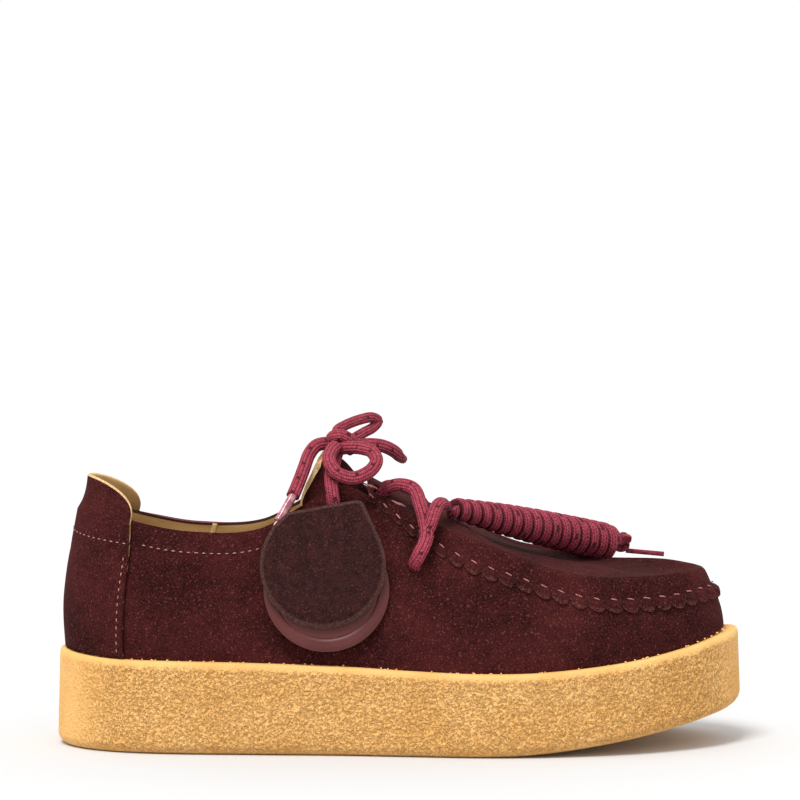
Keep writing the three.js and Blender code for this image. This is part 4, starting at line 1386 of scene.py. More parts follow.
@dataclass
class HeelTab:
    """The heel tab: an overlay round the heel that stands up above the collar."""

    rows: int = 48
    columns: int = 75
    top: float = 113.3
    shoulder: float = 95.0
    edge_at: float = 0.098
    shoulder_at: float = 0.082
    narrowing: float = 4.0
    spread: float = 1.36
    pinch: float = 4.6
    pinch_run: float = 6.0
    gap: float = 0.9
    thickness: float = 1.6
    folded_below: float = 88.0

    def top_at(self, across: float) -> float:
        """Return the height of the tab's top edge, which rounds off to the sides."""
        rounding = (1 - abs(across) ** 2.6) ** (1 / 2.2)
        return mix(self.shoulder, self.top, rounding)

    def point(self, across: float, up: float, lift: float = 0.0) -> Vector:
        """Return a point of the tab's outer face.

        Args:
            across: From -1 at the outer front edge to 1 at the inner one.
            up: From 0 at the sole to 1 at the top.
            lift: How far off the face.

        Returns:
            The point, in millimetres.
        """
        side = Side.OUTER if across < 0 else Side.INNER
        turn = abs(across) * turn_of(mix(self.edge_at, self.shoulder_at, up**self.narrowing))
        foot = FORM.upper_foot(side, turn)
        edge = FORM.upper_edge(side, turn)
        z = mix(foot.z + FORM.clearance, self.top_at(across), up)
        rise = (z - foot.z) / (edge.z - foot.z)
        held = self.gap + self.thickness + lift
        point = FORM.off_upper(side, turn, min(rise, 1.0), held)
        if rise > 1:
            inward = Vector((edge.x - foot.x, edge.y - foot.y)).normalized()
            lean = self.pinch * (1 - math.exp(-(z - edge.z) / self.pinch_run))
            point.x += inward.x * lean
            point.y += inward.y * lean
        point.z = z
        return point

    def build(self, finishes: Wardrobe) -> None:
        """Make and place the tab, as a closed shell with rounded edges.

        Args:
            finishes: The shoe's finishes.
        """
        half = self.thickness / 2
        ups = [k / (self.rows - 1) for k in range(self.rows)]
        faces = [(0.0, -half, 0.5)]
        faces += [(up, 0.0, 0.0) for up in ups]
        faces += [(1.0, -half, 0.5)]
        faces += [(up, -self.thickness, 1.0) for up in reversed(ups)]
        faces += [(0.0, -half, 0.5)]

        def place(r: int, c: int) -> Vector:
            """Return one point of the shell."""
            up, lift, _ = faces[r]
            if c in (0, self.columns - 1):
                return self.point(1.0 if c == 0 else -1.0, up, -half)
            angle = self.spread * (1 - 2 * (c - 1) / (self.columns - 3))
            across = 0.996 * math.sin(angle) / math.sin(self.spread)
            point = self.point(across, up, lift)
            point = self.point(across, up, lift + noise.noise(point / 17.0) * 0.35)
            if lift == -half and up == 1.0:
                point.z += half
            return point

        marks = {"inside": lambda r, c: faces[r][2]}
        tab = Net("heel_tab_overlay", len(faces), self.columns, place, marks=marks).make()
        dress(tab, finishes.suede, finishes.lining, finishes.raw_tan)
        inside = tab.data.attributes["inside"].data
        for face in tab.data.polygons:
            depth = sum(inside[v].value for v in face.vertices) / len(face.vertices)
            if depth > 0.8:
                face.material_index = 1
            elif depth > 0.2 and face.center.z > self.folded_below * MM:
                face.material_index = 2
        settle(tab, Slot.SUEDE, "heel_tab")


# Seams and stitches


@dataclass
class StitchLine:
    """A row of stitches: one is modelled, and copies of it are laid along a line."""

    name: str
    spots: Sequence[Stitch]
    length: float = 2.0
    thread: float = 0.6
    slant: float = 0.0
    slot: Slot = Slot.SUEDE

    def build(self, finish: bpy.types.Material) -> None:
        """Make and place the stitches.

        Args:
            finish: The thread's material.
        """
        deselect()
        bpy.ops.mesh.primitive_uv_sphere_add(segments=8, ring_count=6, radius=1, location=(0, 0, 0))
        model = bpy.context.object
        rng = random.Random(7)
        parts = []
        for middle, along, out in self.spots:
            copy = model.copy()
            copy.data = model.data.copy()
            bpy.context.collection.objects.link(copy)
            length = self.length * rng.uniform(0.9, 1.1)
            x = along.normalized()
            z = (out - x * out.dot(x)).normalized()
            x = x * math.cos(self.slant) - z.cross(x) * math.sin(self.slant)
            y = z.cross(x)
            turn = Matrix((x, y, z)).transposed()
            size = Matrix.Diagonal((length / 2, self.thread / 2, self.thread / 2))
            copy.data.transform(Matrix.Translation(middle * MM) @ (turn @ size * MM).to_4x4())
            parts.append(copy)
        bpy.data.objects.remove(model)
        line = join(self.name, parts)
        activate(line)
        bpy.ops.object.shade_smooth()
        dress(line, finish)
        settle(line, self.slot)


@dataclass
class MocSeam:
    """The gathered moccasin seam: plump scallops with a stitch in each valley."""

    pitch: float = 7.6
    drop: float = 5.0
    stand: float = 2.3
    start_at: float = 0.44
    fine: int = 900
    per_scallop: int = 14
    profile: tuple = (
        (0.00, 0.00), (0.30, 0.00), (0.65, 0.00), (1.00, 0.05), (1.05, 0.42), (0.93, 0.80),
        (0.70, 1.00), (0.42, 1.00), (0.20, 0.72), (0.06, 0.34), (-0.02, 0.10), (0.00, 0.00),
    )
    fuzz: tuple = (0.0, 0.0, 0.0, 0.9, 1.0, 0.5, 0.0, 0.0, 0.0, 0.0, 0.0, 0.0)
    first_size: float = 0.45
    valley_drop: float = 0.42
    valley_stand: float = 0.35
    valley: float = 0.72

    def spot(self, run: float, climb: float, lift: float) -> Vector:
        """Return a place on the way round the seam, whose run goes on past the toe."""
        return FORM.off_upper(*FORM.around_ends(Side.OUTER, run), climb, lift)

    def measure(self) -> tuple[list[float], list[float]]:
        """Return runs along the seam and the length of seam up to each."""
        start = turn_of(self.start_at)
        runs = [mix(start, 2 - start, k / self.fine) for k in range(self.fine + 1)]
        lengths = [0.0]
        for a, b in zip(runs, runs[1:]):
            lengths.append(lengths[-1] + (self.spot(b, 1, 0) - self.spot(a, 1, 0)).length)
        return runs, lengths

    @staticmethod
    def run_at(runs: list[float], lengths: list[float], goal: float) -> float:
        """Return the run at a length of seam."""
        low, high = 0, len(lengths) - 1
        while high - low > 1:
            middle = (low + high) // 2
            if lengths[middle] < goal:
                low = middle
            else:
                high = middle
        share = (goal - lengths[low]) / (lengths[high] - lengths[low])
        return mix(runs[low], runs[high], share)

    def build(self, finishes: Wardrobe) -> None:
        """Make and place the scallops and their stitches.

        Args:
            finishes: The shoe's finishes.
        """
        runs, lengths = self.measure()
        total = lengths[-1]
        count = round(total / self.pitch)
        steps = count * self.per_scallop

        def place(r: int, c: int) -> Vector:
            """Return one point of the scallops' skin."""
            run = self.run_at(runs, lengths, total * r / steps)
            phase = (r % self.per_scallop) / self.per_scallop
            swell = math.sqrt(max(0.0, math.sin(math.pi * phase)))
            side, turn = FORM.around_ends(Side.OUTER, run)
            height = FORM.upper_edge(side, turn).z - FORM.upper_foot(side, turn).z
            grown = mix(self.first_size, 1.0, smoothstep(turn, 0.47, 0.56))
            drop = grown * self.drop * mix(self.valley_drop, 1.0, swell) / height
            stand = grown * self.stand * mix(self.valley_stand, 1.0, swell)
            down, out = self.profile[c]
            if r in (0, steps):
                down, out = down * 0.5, out * 0.2
            return self.spot(run, 1 - drop * down, 0.1 + stand * out)

        marks = {"rim": lambda r, c: self.fuzz[c]}
        seam = Net("moc_seam_scallops", steps + 1, len(self.profile), place, marks=marks).make()
        edit_mesh(seam, lambda: bpy.ops.mesh.fill_holes(sides=len(self.profile) + 2))
        face_out(seam)
        dress(seam, finishes.suede)
        settle(seam, Slot.SUEDE, "moc_seam")

        goals = [total * (k + self.valley) / count for k in range(count)]
        spots = [self.stitch(self.run_at(runs, lengths, goal)) for goal in goals]
        line = StitchLine("seam_stitches", spots, length=3.4, thread=0.7, slant=0.2)
        line.build(finishes.seam_thread)

    def stitch(self, run: float) -> Stitch:
        """Return middle, way along and way out of the stitch at a run of the seam."""
        ahead = self.spot(run + 0.004, 1, 0) - self.spot(run - 0.004, 1, 0)
        out = FORM.upper_out(*FORM.around_ends(Side.OUTER, run), 0.99)
        return self.spot(run, 1, 0.8) + Vector((0, 0, 0.3)), ahead, out


@dataclass
class Trims:
    """Small sewn and moulded details: slot bars, the lining's seam and crumbs of crepe."""

    bars: tuple = ((0.452, 1.30), (0.462, 1.36), (0.499, 1.22), (0.508, 1.27))
    seam_at: float = 0.203
    crumbs: int = 190

    def slot_bars(self, finishes: Wardrobe) -> None:
        """Make the stitched bars at both ends of the slots."""
        spots = []
        for side in Side:
            for at, climb in self.bars:
                turn = turn_of(at)
                ahead = FORM.upper_point(side, turn + 0.01, climb)
                middle = FORM.off_upper(side, turn, climb, 0.15)
                out = FORM.upper_out(side, turn, climb)
                spots.append((middle, ahead - FORM.upper_point(side, turn, climb), out))
        line = StitchLine("slot_bars", spots, length=5.2, thread=0.9)
        line.build(finishes.seam_thread)

    def lining_seams(self, finishes: Wardrobe) -> None:
        """Make the seams of the lining, one on each side."""
        strips = []
        for side in Side:
            turn = turn_of(self.seam_at)
            path = smooth_path(
                [FORM.off_upper(side, turn, k / 8, -FORM.wall - 0.1) for k in range(2, 9)]
            )
            strip = LaceRun(
                f"lining_seam_{side.name}", path, outward(path),
                width=2.2, height=0.7, sides=12, ribs=1, groove=0,
            )
            strips.append(strip.make(finishes.raw_tan))
        settle(join("lining_seams", strips), Slot.LINING)

    def scatter(self, finishes: Wardrobe) -> None:
        """Scatter crumbs of crepe along the foot of the upper."""
        rng = random.Random(3)
        crumbs = []
        for _ in range(self.crumbs):
            side, turn = rng.choice(list(Side)), rng.uniform(0, 1)
            place = FORM.upper_foot(side, turn)
            inward = FORM.inward(side, turn) * rng.uniform(-1.3, -0.1)
            place += Vector((inward.x, inward.y, rng.uniform(-0.35, 0.1)))
            way = Vector((rng.uniform(-1, 1), rng.uniform(-1, 1), rng.uniform(-0.3, 0.3)))
            crumbs.append((place, way, Vector((0, 0, 1))))
        line = StitchLine("crepe_crumbs", crumbs, length=1.1, thread=0.7, slot=Slot.CREPE)
        line.build(finishes.crepe)

    def build(self, finishes: Wardrobe) -> None:
        """Make and place the details."""
        self.slot_bars(finishes)
        self.lining_seams(finishes)
        self.scatter(finishes)


@dataclass
class EdgeStitching:
    """The dotted lines below the collar, over the heel tab and along its front edges."""

    below: float = 8.5
    pitch: float = 3.2
    first_at: float = 0.105
    last_at: float = 0.33
    heel_height: float = 91.6

    def row(self, place: Line, out: Line, start: float, end: float) -> list[Stitch]:
        """Return evenly spaced stitches along a line.

        Args:
            place: The line, from its parameter.
            out: The direction out of the leather.
            start: The parameter at one end.
            end: The parameter at the other.

        Returns:
            Middle, way along and way out of each stitch.
        """
        fine = [mix(start, end, k / 400) for k in range(401)]
        spots = []
        since = self.pitch / 2
        for a, b in zip(fine, fine[1:]):
            step = place(b) - place(a)
            since += step.length
            if since >= self.pitch:
                since -= self.pitch
                spots.append((place(b), step, out(b)))
        return spots

    def collar(self, side: Side) -> list[Stitch]:
        """Return the stitches below the collar on one side."""

        def climb(turn: float) -> float:
            """Return the height of the line on the wall."""
            edge = FORM.upper_edge(side, turn).z
            foot = FORM.upper_foot(side, turn).z
            return 1 - self.below / (edge - foot)

        return self.row(
            lambda turn: FORM.off_upper(side, turn, climb(turn), 0.15),
            lambda turn: FORM.upper_out(side, turn, climb(turn)),
            turn_of(self.first_at),
            turn_of(self.last_at),
        )

    def tab(self, tab: HeelTab) -> list[Stitch]:
        """Return the stitches over the tab and inside its front edges.

        Args:
            tab: The heel tab.

        Returns:
            Middle, way along and way out of each stitch.
        """

        def height(across: float) -> float:
            """Return the share of the tab's height at the collar line."""
            turn = abs(across) * turn_of(tab.edge_at)
            side = Side.OUTER if across < 0 else Side.INNER
            foot = FORM.upper_foot(side, turn).z + FORM.clearance
            side_z = FORM.upper_edge(side, turn_of(0.1)).z - self.below
            z = mix(self.heel_height, side_z, abs(across))
            return (z - foot) / (tab.top_at(across) - foot)

        def out(across: float) -> Vector:
            """Return the direction out of the tab at the collar line."""
            up = height(across)
            return tab.point(across, up, 1.0) - tab.point(across, up, 0.0)

        spots = self.row(lambda a: tab.point(a, height(a), 0.12), out, -0.985, 0.985)
        for front in (-0.955, 0.955):
            spots += self.row(
                lambda up, a=front: tab.point(a, up, 0.12),
                lambda up, a=front: tab.point(a, up, 1.0) - tab.point(a, up, 0.0),
                0.02,
                0.66,
            )
        return spots

    def build(self, finishes: Wardrobe, tab: HeelTab) -> None:
        """Make and place the stitches."""
        spots = self.collar(Side.OUTER) + self.collar(Side.INNER)
        line = StitchLine("collar_stitches", spots, length=1.7, thread=0.5)
        line.build(finishes.pale_thread)
        line = StitchLine("heel_tab_stitches", self.tab(tab), length=1.6, thread=0.45)
        line.build(finishes.pale_thread)


# Lacing


def lengths_along(points: Sequence[Vector]) -> list[float]:
    """Return the length of a path up to each of its points."""
    lengths = [0.0]
    for p, q in zip(points, points[1:]):
        lengths.append(lengths[-1] + (q - p).length)
    return lengths


def even_points(points: Sequence[Vector], count: int) -> list[Vector]:
    """Return the points that part a path into equal steps.

    Args:
        points: The path.
        count: How many steps.

    Returns:
        The points, one more than the steps.
    """
    lengths = lengths_along(points)
    even = []
    k = 0
    for j in range(count + 1):
        goal = lengths[-1] * j / count
        while k < len(points) - 2 and lengths[k + 1] < goal:
            k += 1
        share = (goal - lengths[k]) / max(lengths[k + 1] - lengths[k], 1e-9)
        even.append(points[k].lerp(points[k + 1], clamp(share)))
    return even


def smooth_path(points: Sequence[Vector], spacing: float = 0.8) -> list[Vector]:
    """Return even points on a smooth curve through given ones.

    Args:
        points: The points to go through.
        spacing: The way between two of the result.

    Returns:
        Points along a centripetal Catmull-Rom curve.
    """
    ends = [points[0] * 2 - points[1], *points, points[-1] * 2 - points[-2]]
    fine: list[Vector] = []
    for a, b, c, d in zip(ends, ends[1:], ends[2:], ends[3:]):
        knots = [0.0]
        for p, q in ((a, b), (b, c), (c, d)):
            knots.append(knots[-1] + max((q - p).length, 1e-6) ** 0.5)
        t0, t1, t2, t3 = knots
        for k in range(24):
            t = mix(t1, t2, k / 24)
            ab = a * ((t1 - t) / (t1 - t0)) + b * ((t - t0) / (t1 - t0))
            bc = b * ((t2 - t) / (t2 - t1)) + c * ((t - t1) / (t2 - t1))
            cd = c * ((t3 - t) / (t3 - t2)) + d * ((t - t2) / (t3 - t2))
            abc = ab * ((t2 - t) / (t2 - t0)) + bc * ((t - t0) / (t2 - t0))
            bcd = bc * ((t3 - t) / (t3 - t1)) + cd * ((t - t1) / (t3 - t1))
            fine.append(abc * ((t2 - t) / (t2 - t1)) + bcd * ((t - t1) / (t2 - t1)))
    fine.append(points[-1].copy())
    return even_points(fine, max(8, round(path_length(fine) / spacing)))


def path_length(path: Sequence[Vector]) -> float:
    """Return the length of a path."""
    return lengths_along(path)[-1]


def plump(wave: float) -> float:
    """Return a sine or cosine made fuller, so that a lace's section is no plain oval."""
    return math.copysign(abs(wave) ** 0.85, wave)


@dataclass
class LaceRun:
    """A length of braided lace along a path, in millimetres."""

    name: str
    path: list[Vector]
    facings: list[Vector]
    width: float = 5.6
    height: float = 4.2
    sides: int = 36
    ribs: int = 12
    groove: float = 0.14

    def frames(self) -> list[tuple[Vector, Vector]]:
        """Return the flat side's direction and the edge's direction at each point."""
        result = []
        last = len(self.path) - 1
        for k, facing in enumerate(self.facings):
            along = (self.path[min(k + 1, last)] - self.path[max(k - 1, 0)]).normalized()
            face = (facing - along * facing.dot(along)).normalized()
            result.append((face, along.cross(face)))
        return result

    def make(self, finish: bpy.types.Material) -> bpy.types.Object:
        """Return the lace with its own UV map: millimetres along, and share round.

        Args:
            finish: The lace's material.

        Returns:
            The piece.
        """
        frames = self.frames()
        ends = (0.0, 0.75, 0.95)
        order = [0] * 3 + list(range(len(self.path))) + [len(self.path) - 1] * 3
        sizes = list(ends) + [1.0] * len(self.path) + list(reversed(ends))
        spacing = path_length(self.path) / (len(self.path) - 1)

        def place(r: int, c: int) -> Vector:
            """Return one point of the lace's skin."""
            k = order[r]
            face, edge = frames[k]
            angle = 2 * math.pi * (c % self.sides) / self.sides
            groove = self.groove * (1 - abs(math.sin(angle * self.ribs / 2)))
            across = (self.width / 2 - groove) * plump(math.sin(angle))
            out = (self.height / 2 - groove) * plump(math.cos(angle))
            return self.path[k] + (face * out + edge * across) * sizes[r]

        def wrap(r: int, c: int) -> tuple[float, float]:
            """Return the way along and the share round of one point."""
            return order[r] * spacing, c / self.sides

        piece = Net(self.name, len(order), self.sides + 1, place, wrap=wrap).make()
        face_out(piece)
        dress(piece, finish)
        return piece


def held(path: Sequence[Vector], *facing: float) -> list[Vector]:
    """Return one facing for the whole of a path."""
    return [Vector(facing) for _ in path]


def outward(path: Sequence[Vector]) -> list[Vector]:
    """Return facings that look out of the shoe, and up on its top."""
    return [Vector((0, clamp(p.y / 12, -1, 1), 0.6)) for p in path]


def vectors(rows: Sequence[Triple]) -> list[Vector]:
    """Return rows of coordinates as points."""
    return [Vector(row) for row in rows]


@dataclass
class Lacing:
    """The lower bar, the two strands, the knot, the bow and its ends."""

    cord_width: float = 5.6
    bar_width: float = 5.9
    bow_width: float = 5.7
    loop_upper_width: float = 4.5
    knot: Triple = (-24.5, -2.7, 126.8)
    knot_wrap: tuple = (
        (-21.0, 1.5, 123.8), (-19.8, -3.0, 125.4), (-20.6, -7.2, 128.2), (-24.2, -8.0, 130.4),
        (-28.4, -6.6, 130.0), (-30.2, -3.0, 127.2), (-28.8, 0.5, 124.4), (-25.0, 1.5, 122.9),
    )
    knot_core: tuple = (
        (-31.0, -5.0, 125.4), (-27.0, -4.0, 127.0), (-22.0, -2.6, 126.8), (-18.6, 0.6, 125.4),
    )
    lower: tuple = (
        (0.522, 0.74, -4.0, -4.0),
        (0.522, 0.745, 2.0, 2.0),
        (0.530, 0.8, 6.3, 6.3),
        (0.543, 0.95, 6.4, 5.0),
        (0.544, 1.06, 6.2, 3.6),
        (0.535, 1.13, 7.8, 3.0),
        (0.515, 1.2, 9.6, 2.8),
        (0.496, 1.25, 8.0, 2.6),
        (0.483, 1.32, 3.8, 1.0),
        (0.477, 1.44, -3.2, -3.2),
        (0.477, 1.64, -4.9, -4.9),
        (0.477, 1.85, -4.7, -4.7),
    )
    strand: tuple = (
        (0.403, 0.84, -4.0),
        (0.403, 0.845, 3.0),
        (0.4, 0.875, 6.8),
        (0.3965, 0.94, 8.0),
    )
    strand_top: tuple = (
        (-28.9, -23.9, 114.1), (-28, -16.5, 118.1), (-27, -10.6, 121.9), (-26, -6.5, 124.6),
    )
    loop_upper: tuple = (
        (-25.9, 1, 129.2), (-26.8, 5, 131.6), (-23.5, 9, 133.7), (-17.1, 13, 136.0),
        (-11.8, 18, 136.6), (-9.4, 20, 135.0), (-11.4, 18, 132.5), (-15.8, 12, 130.3),
        (-20.4, 6, 127.9), (-23.4, 2, 126.2),
    )
    loop_front: tuple = (
        (-25.3, -8, 124.9), (-21.0, -13, 125.6), (-16.4, -18, 125.7), (-11.7, -23, 124.4),
        (-9.8, -27, 120.8), (-12.5, -30, 116.9), (-19.5, -32, 114.1), (-26.2, -31, 116.1),
        (-29.6, -26, 120.8), (-28.9, -19, 124.3), (-26.9, -12, 126.2),
    )
    end_left: tuple = (
        (-28.6, -5.0, 126.9), (-33.0, -8.2, 126.9), (-35.6, -10.6, 126), (-38.2, -14, 122.8),
        (-40.2, -19, 117.4), (-42.4, -25, 111.6), (-44.6, -31, 106.4),
    )
    end_right: tuple = (
        (-21.2, 0.5, 125.9), (-17.4, 3.8, 125.7), (-12.4, 6.6, 125.7), (-7.3, 10.6, 124.8),
        (-3.0, 15, 122.6), (-0.4, 20.4, 120.1), (0.3, 26.4, 118.9), (0.4, 32, 118.2),
    )
    tip_left: tuple = ((-44.4, -30.6, 106.8), (-47.4, -34.2, 101.6), (-50.4, -37.8, 96.4))
    tip_right: tuple = ((0.4, 31.6, 118.2), (0.4, 37.2, 117.9), (0.4, 41.8, 117.6))
    fibres: int = 9

    def bar(self, finishes: Wardrobe) -> None:
        """Make the lace across the lower eyelets, through the slots of the plug."""
        outer, inner = (
            [
                FORM.off_upper(side, turn_of(at), climb, lifts[side > 0])
                for at, climb, *lifts in self.lower
            ]
            for side in Side
        )
        path = smooth_path([*outer, *reversed(inner)])
        run = LaceRun("lower_lace", path, outward(path), width=self.bar_width)
        bar = run.make(finishes.lace)
        settle(bar, Slot.LACE, "lace_lower_bar")

    def strands(self, finishes: Wardrobe) -> None:
        """Make the two strands from the upper eyelets to the knot."""
        for side in Side:
            low = [
                FORM.off_upper(side, turn_of(at), climb, lift) for at, climb, lift in self.strand
            ]
            high = [Vector((x, -side * y, z)) for x, y, z in self.strand_top]
            path = smooth_path([*low, *high])
            run = LaceRun(f"strand_{side.word}", path, outward(path)).make(finishes.lace)
            settle(run, Slot.LACE, f"lace_strand_{side.word}")

    def tie(self, finishes: Wardrobe) -> bpy.types.Object:
        """Make the knot: a core and the turn of lace wrapped over it."""
        middle = Vector(self.knot)
        over = smooth_path(vectors(self.knot_wrap), 0.6)
        core = smooth_path(vectors(self.knot_core), 0.6)
        runs = (
            LaceRun("knot_wrap", over, [p - middle for p in over], width=5.4, height=3.6),
            LaceRun("knot_core", core, held(core, 0, -1, 0.4), width=6.4, height=6.0),
        )
        knot = join("bow_knot", [run.make(finishes.lace) for run in runs])
        settle(knot, Slot.LACE, "lace_knot")
        return knot

    def tip(self, word: str, rows: Sequence[Triple], finishes: Wardrobe) -> bpy.types.Object:
        """Make the plastic tip of one end of the lace.

        Args:
            word: Which end, left or right.
            rows: The way of the tip, in millimetres.
            finishes: The shoe's finishes.

        Returns:
            The tip.
        """
        path = smooth_path(vectors(rows))
        run = LaceRun(
            f"tip_{word}", path, held(path, 0, -1, 0),
            width=3.7, height=3.5, sides=20, ribs=1, groove=0.0,
        )
        tip = run.make(finishes.tip)
        settle(tip, Slot.AGLET, f"aglet_{word}")
        return tip

    def fray(self, finishes: Wardrobe) -> None:
        """Make the loose fibres past the left tip; the right one's end isn't seen."""
        path = smooth_path(vectors(self.tip_left))
        end = path[-1] - path[-2]
        rng = random.Random(11)
        spots = []
        for _ in range(self.fibres):
            lean = Vector((rng.uniform(-0.25, 0.25), rng.uniform(-0.25, 0.25), 0))
            middle = path[-1] + end * 0.9 + lean * 4
            spots.append((middle, end.normalized() + lean, Vector((0, 0, 1))))
        line = StitchLine("tip_left_frayed", spots, length=3.2, thread=0.7, slot=Slot.AGLET)
        line.build(finishes.frayed)

    def bow(self, finishes: Wardrobe, knot: bpy.types.Object) -> None:
        """Make the loops and ends.

        Args:
            finishes: The shoe's finishes.
            knot: The knot.
        """
        tips = {"bow_end_left": self.tip("left", self.tip_left, finishes)}
        self.fray(finishes)
        tips["bow_end_right"] = self.tip("right", self.tip_right, finishes)
        runs = {
            "bow_loop_upper": self.loop_upper,
            "bow_loop_front": self.loop_front,
            "bow_end_left": self.end_left,
            "bow_end_right": self.end_right,
        }
        for node, rows in runs.items():
            path = smooth_path(vectors(rows))
            width = self.loop_upper_width if "upper" in node else self.bow_width
            facings = held(path, 0.1, -1, 0.35)
            piece = LaceRun(f"{node}_lace", path, facings, width).make(finishes.lace)
            settle(piece, Slot.LACE, node)
            extra = [tips[node]] if node in tips else ([knot] if "upper" in node else [])
            tuple(Vector(self.knot) * MM)
            path_length(path) * MM
            "fitting" if node in tips else "knot"
            [tuple(p * MM) for p in path]

    def build(self, finishes: Wardrobe) -> None:
        """Make and place all of the lacing."""
        self.bar(finishes)
        self.strands(finishes)
        self.bow(finishes, self.tie(finishes))


@dataclass
class SpareLace:
    """The spare length of lace, wound into a stick that leans over the plug."""

    start: Triple = (19.7, -22.0, 101.4)
    turns: int = 17
    steps: int = 40
    radius: float = 8.3
    rest_at: float = 0.83
    rest_climb: float = 1.15
    rest_lift: float = 8.4
    past_rest: float = 14.0
    taper: tuple = ((0, 0.52), (0.1, 0.62), (0.3, 0.8), (0.5, 0.91), (0.8, 1), (1, 1.02))
    width: float = 5.2
    height: float = 4.4
    sunk: float = 2.1
    cord_width: float = 5.7
    hook_rows: tuple = (
        (9.8, -39.6, 91.0), (12.2, -40.2, 94.6), (13.6, -39.4, 98.6), (14.8, -36.6, 101.6),
        (16.4, -32.4, 103.4), (18.0, -28, 103.4), (19, -24.6, 102.6),
    )
    knot_size: float = 4.3
    knot_lift: float = 2.2
    knot_spread: float = 2.2
    knot_turns: tuple = ((0.3, -1.2), (2.4, 0.2), (4.4, 1.0))
    knot_ring: float = 1.9
    tail_width: float = 2.2
    tail_length: float = 15.0
    tail_drop: float = 1.6
    tail_hidden: float = 2.0

    def end(self) -> Vector:
        """Return the far end of the stick."""
        rest = FORM.upper_point(Side.INNER, turn_of(self.rest_at), self.rest_climb)
        rest.z += self.rest_lift
        along = (rest - Vector(self.start)).normalized()
        return rest + along * self.past_rest

    def axes(self) -> tuple[Vector, Vector, Vector]:
        """Return the stick's own directions: along it, to its side and up from it."""
        axis = (self.end() - Vector(self.start)).normalized()
        side = axis.cross(Vector((0, 0, 1))).normalized()
        return axis, side, side.cross(axis)

    def radius_at(self, share: float) -> float:
        """Return the stick's radius along its length."""
        k = 0
        while k < len(self.taper) - 2 and share > self.taper[k + 1][0]:
            k += 1
        (a, low), (b, high) = self.taper[k], self.taper[k + 1]
        return self.radius * mix(low, high, (share - a) / (b - a))

    def winding(self) -> tuple[list[Vector], list[Vector]]:
        """Return the wound lace's path and the direction out of the stick at each point."""
        start = Vector(self.start)
        axis, side, up = self.axes()
        length = (self.end() - start).length
        path, outs = [], []
        count = self.turns * self.steps
        for k in range(count + 1):
            share = k / count
            angle = 2 * math.pi * self.turns * share
            out = side * math.cos(angle) - up * math.sin(angle)
            inset = 0.5 + 0.5 * smoothstep(share, 0.0, 0.02) * smoothstep(1 - share, 0.0, 0.02)
            radius = (self.radius_at(share) - self.sunk) * inset
            reach = mix(self.width / 2, length - self.width / 2, share)
            path.append(start + axis * reach + out * radius)
            outs.append(out)
        return path, outs

    def hook(self, finishes: Wardrobe) -> bpy.types.Object:
        """Make the strand from the lower bar to the stick."""
        path = smooth_path(vectors(self.hook_rows))
        hook = LaceRun("spare_hook", path, outward(path)).make(finishes.lace)
        settle(hook, Slot.LACE, "spare_loop")
        return hook

    def end_knot(self, finishes: Wardrobe) -> bpy.types.Object:
        """Make the knot at the far end of the stick, of three tight turns of lace."""
        axis, side, up = self.axes()
        middle = self.end() + axis * (self.knot_size + FORM.clearance)
        lumps = []
        for k, (turn, reach) in enumerate(self.knot_turns):
            offset = (side * math.cos(turn) + up * math.sin(turn)) * self.knot_spread
            offset += axis * reach
            offset.z += self.knot_lift
            ring = []
            for angle in (0.0, 1.2, 2.4, 3.6, 4.8):
                out = side * math.cos(angle) + axis * 0.7 * math.sin(angle)
                out += up * 0.5 * math.sin(angle + k)
                ring.append(middle + offset + out * self.knot_ring)
            way = smooth_path(ring, 0.5)
            run = LaceRun(
                f"spare_knot_{k}", way, held(way, *up), width=4.0, height=3.6, sides=24, groove=0.1
            )
            lumps.append(run.make(finishes.lace))
        knot = join("spare_lace_knot", lumps)
        settle(knot, Slot.LACE, "spare_knot")
        return knot

    def tail(self, finishes: Wardrobe) -> bpy.types.Object:
        """Make the thin end of the lace that comes out of the knot."""
        hidden = 2 * self.knot_size + 2 * FORM.clearance - self.tail_hidden
        tip = self.end() + self.axes()[0] * hidden
        tip.z -= self.tail_drop
        reach = self.tail_length + self.tail_drop
        rows = [tip + Vector((s * reach, s, -s * self.tail_drop)) for s in (0, 0.5, 1)]
        path = smooth_path(rows)
        width = self.tail_width
        run = LaceRun(
            "spare_tail_tip", path, held(path, 0, 0, 1),
            width=width, height=width, sides=16, ribs=2, groove=0.05,
        )
        tail = run.make(finishes.lace)
        settle(tail, Slot.LACE, "spare_tail")
        return tail

    def build(self, finishes: Wardrobe) -> None:
        """Make and place the wound lace, its hook, its knot and its thin tail."""
        path, outs = self.winding()
        run = LaceRun(
            "spare_winding", path, outs,
            width=self.width, height=self.height, sides=24, groove=0.1,
        )
        coil = run.make(finishes.wound)
        settle(coil, Slot.LACE, "spare_coil")
        others = [self.hook(finishes), self.end_knot(finishes), self.tail(finishes)]
        tuple(Vector(self.start) * MM)
        path_length(path) * MM
        [tuple(p * MM) for p in path]


# Fob


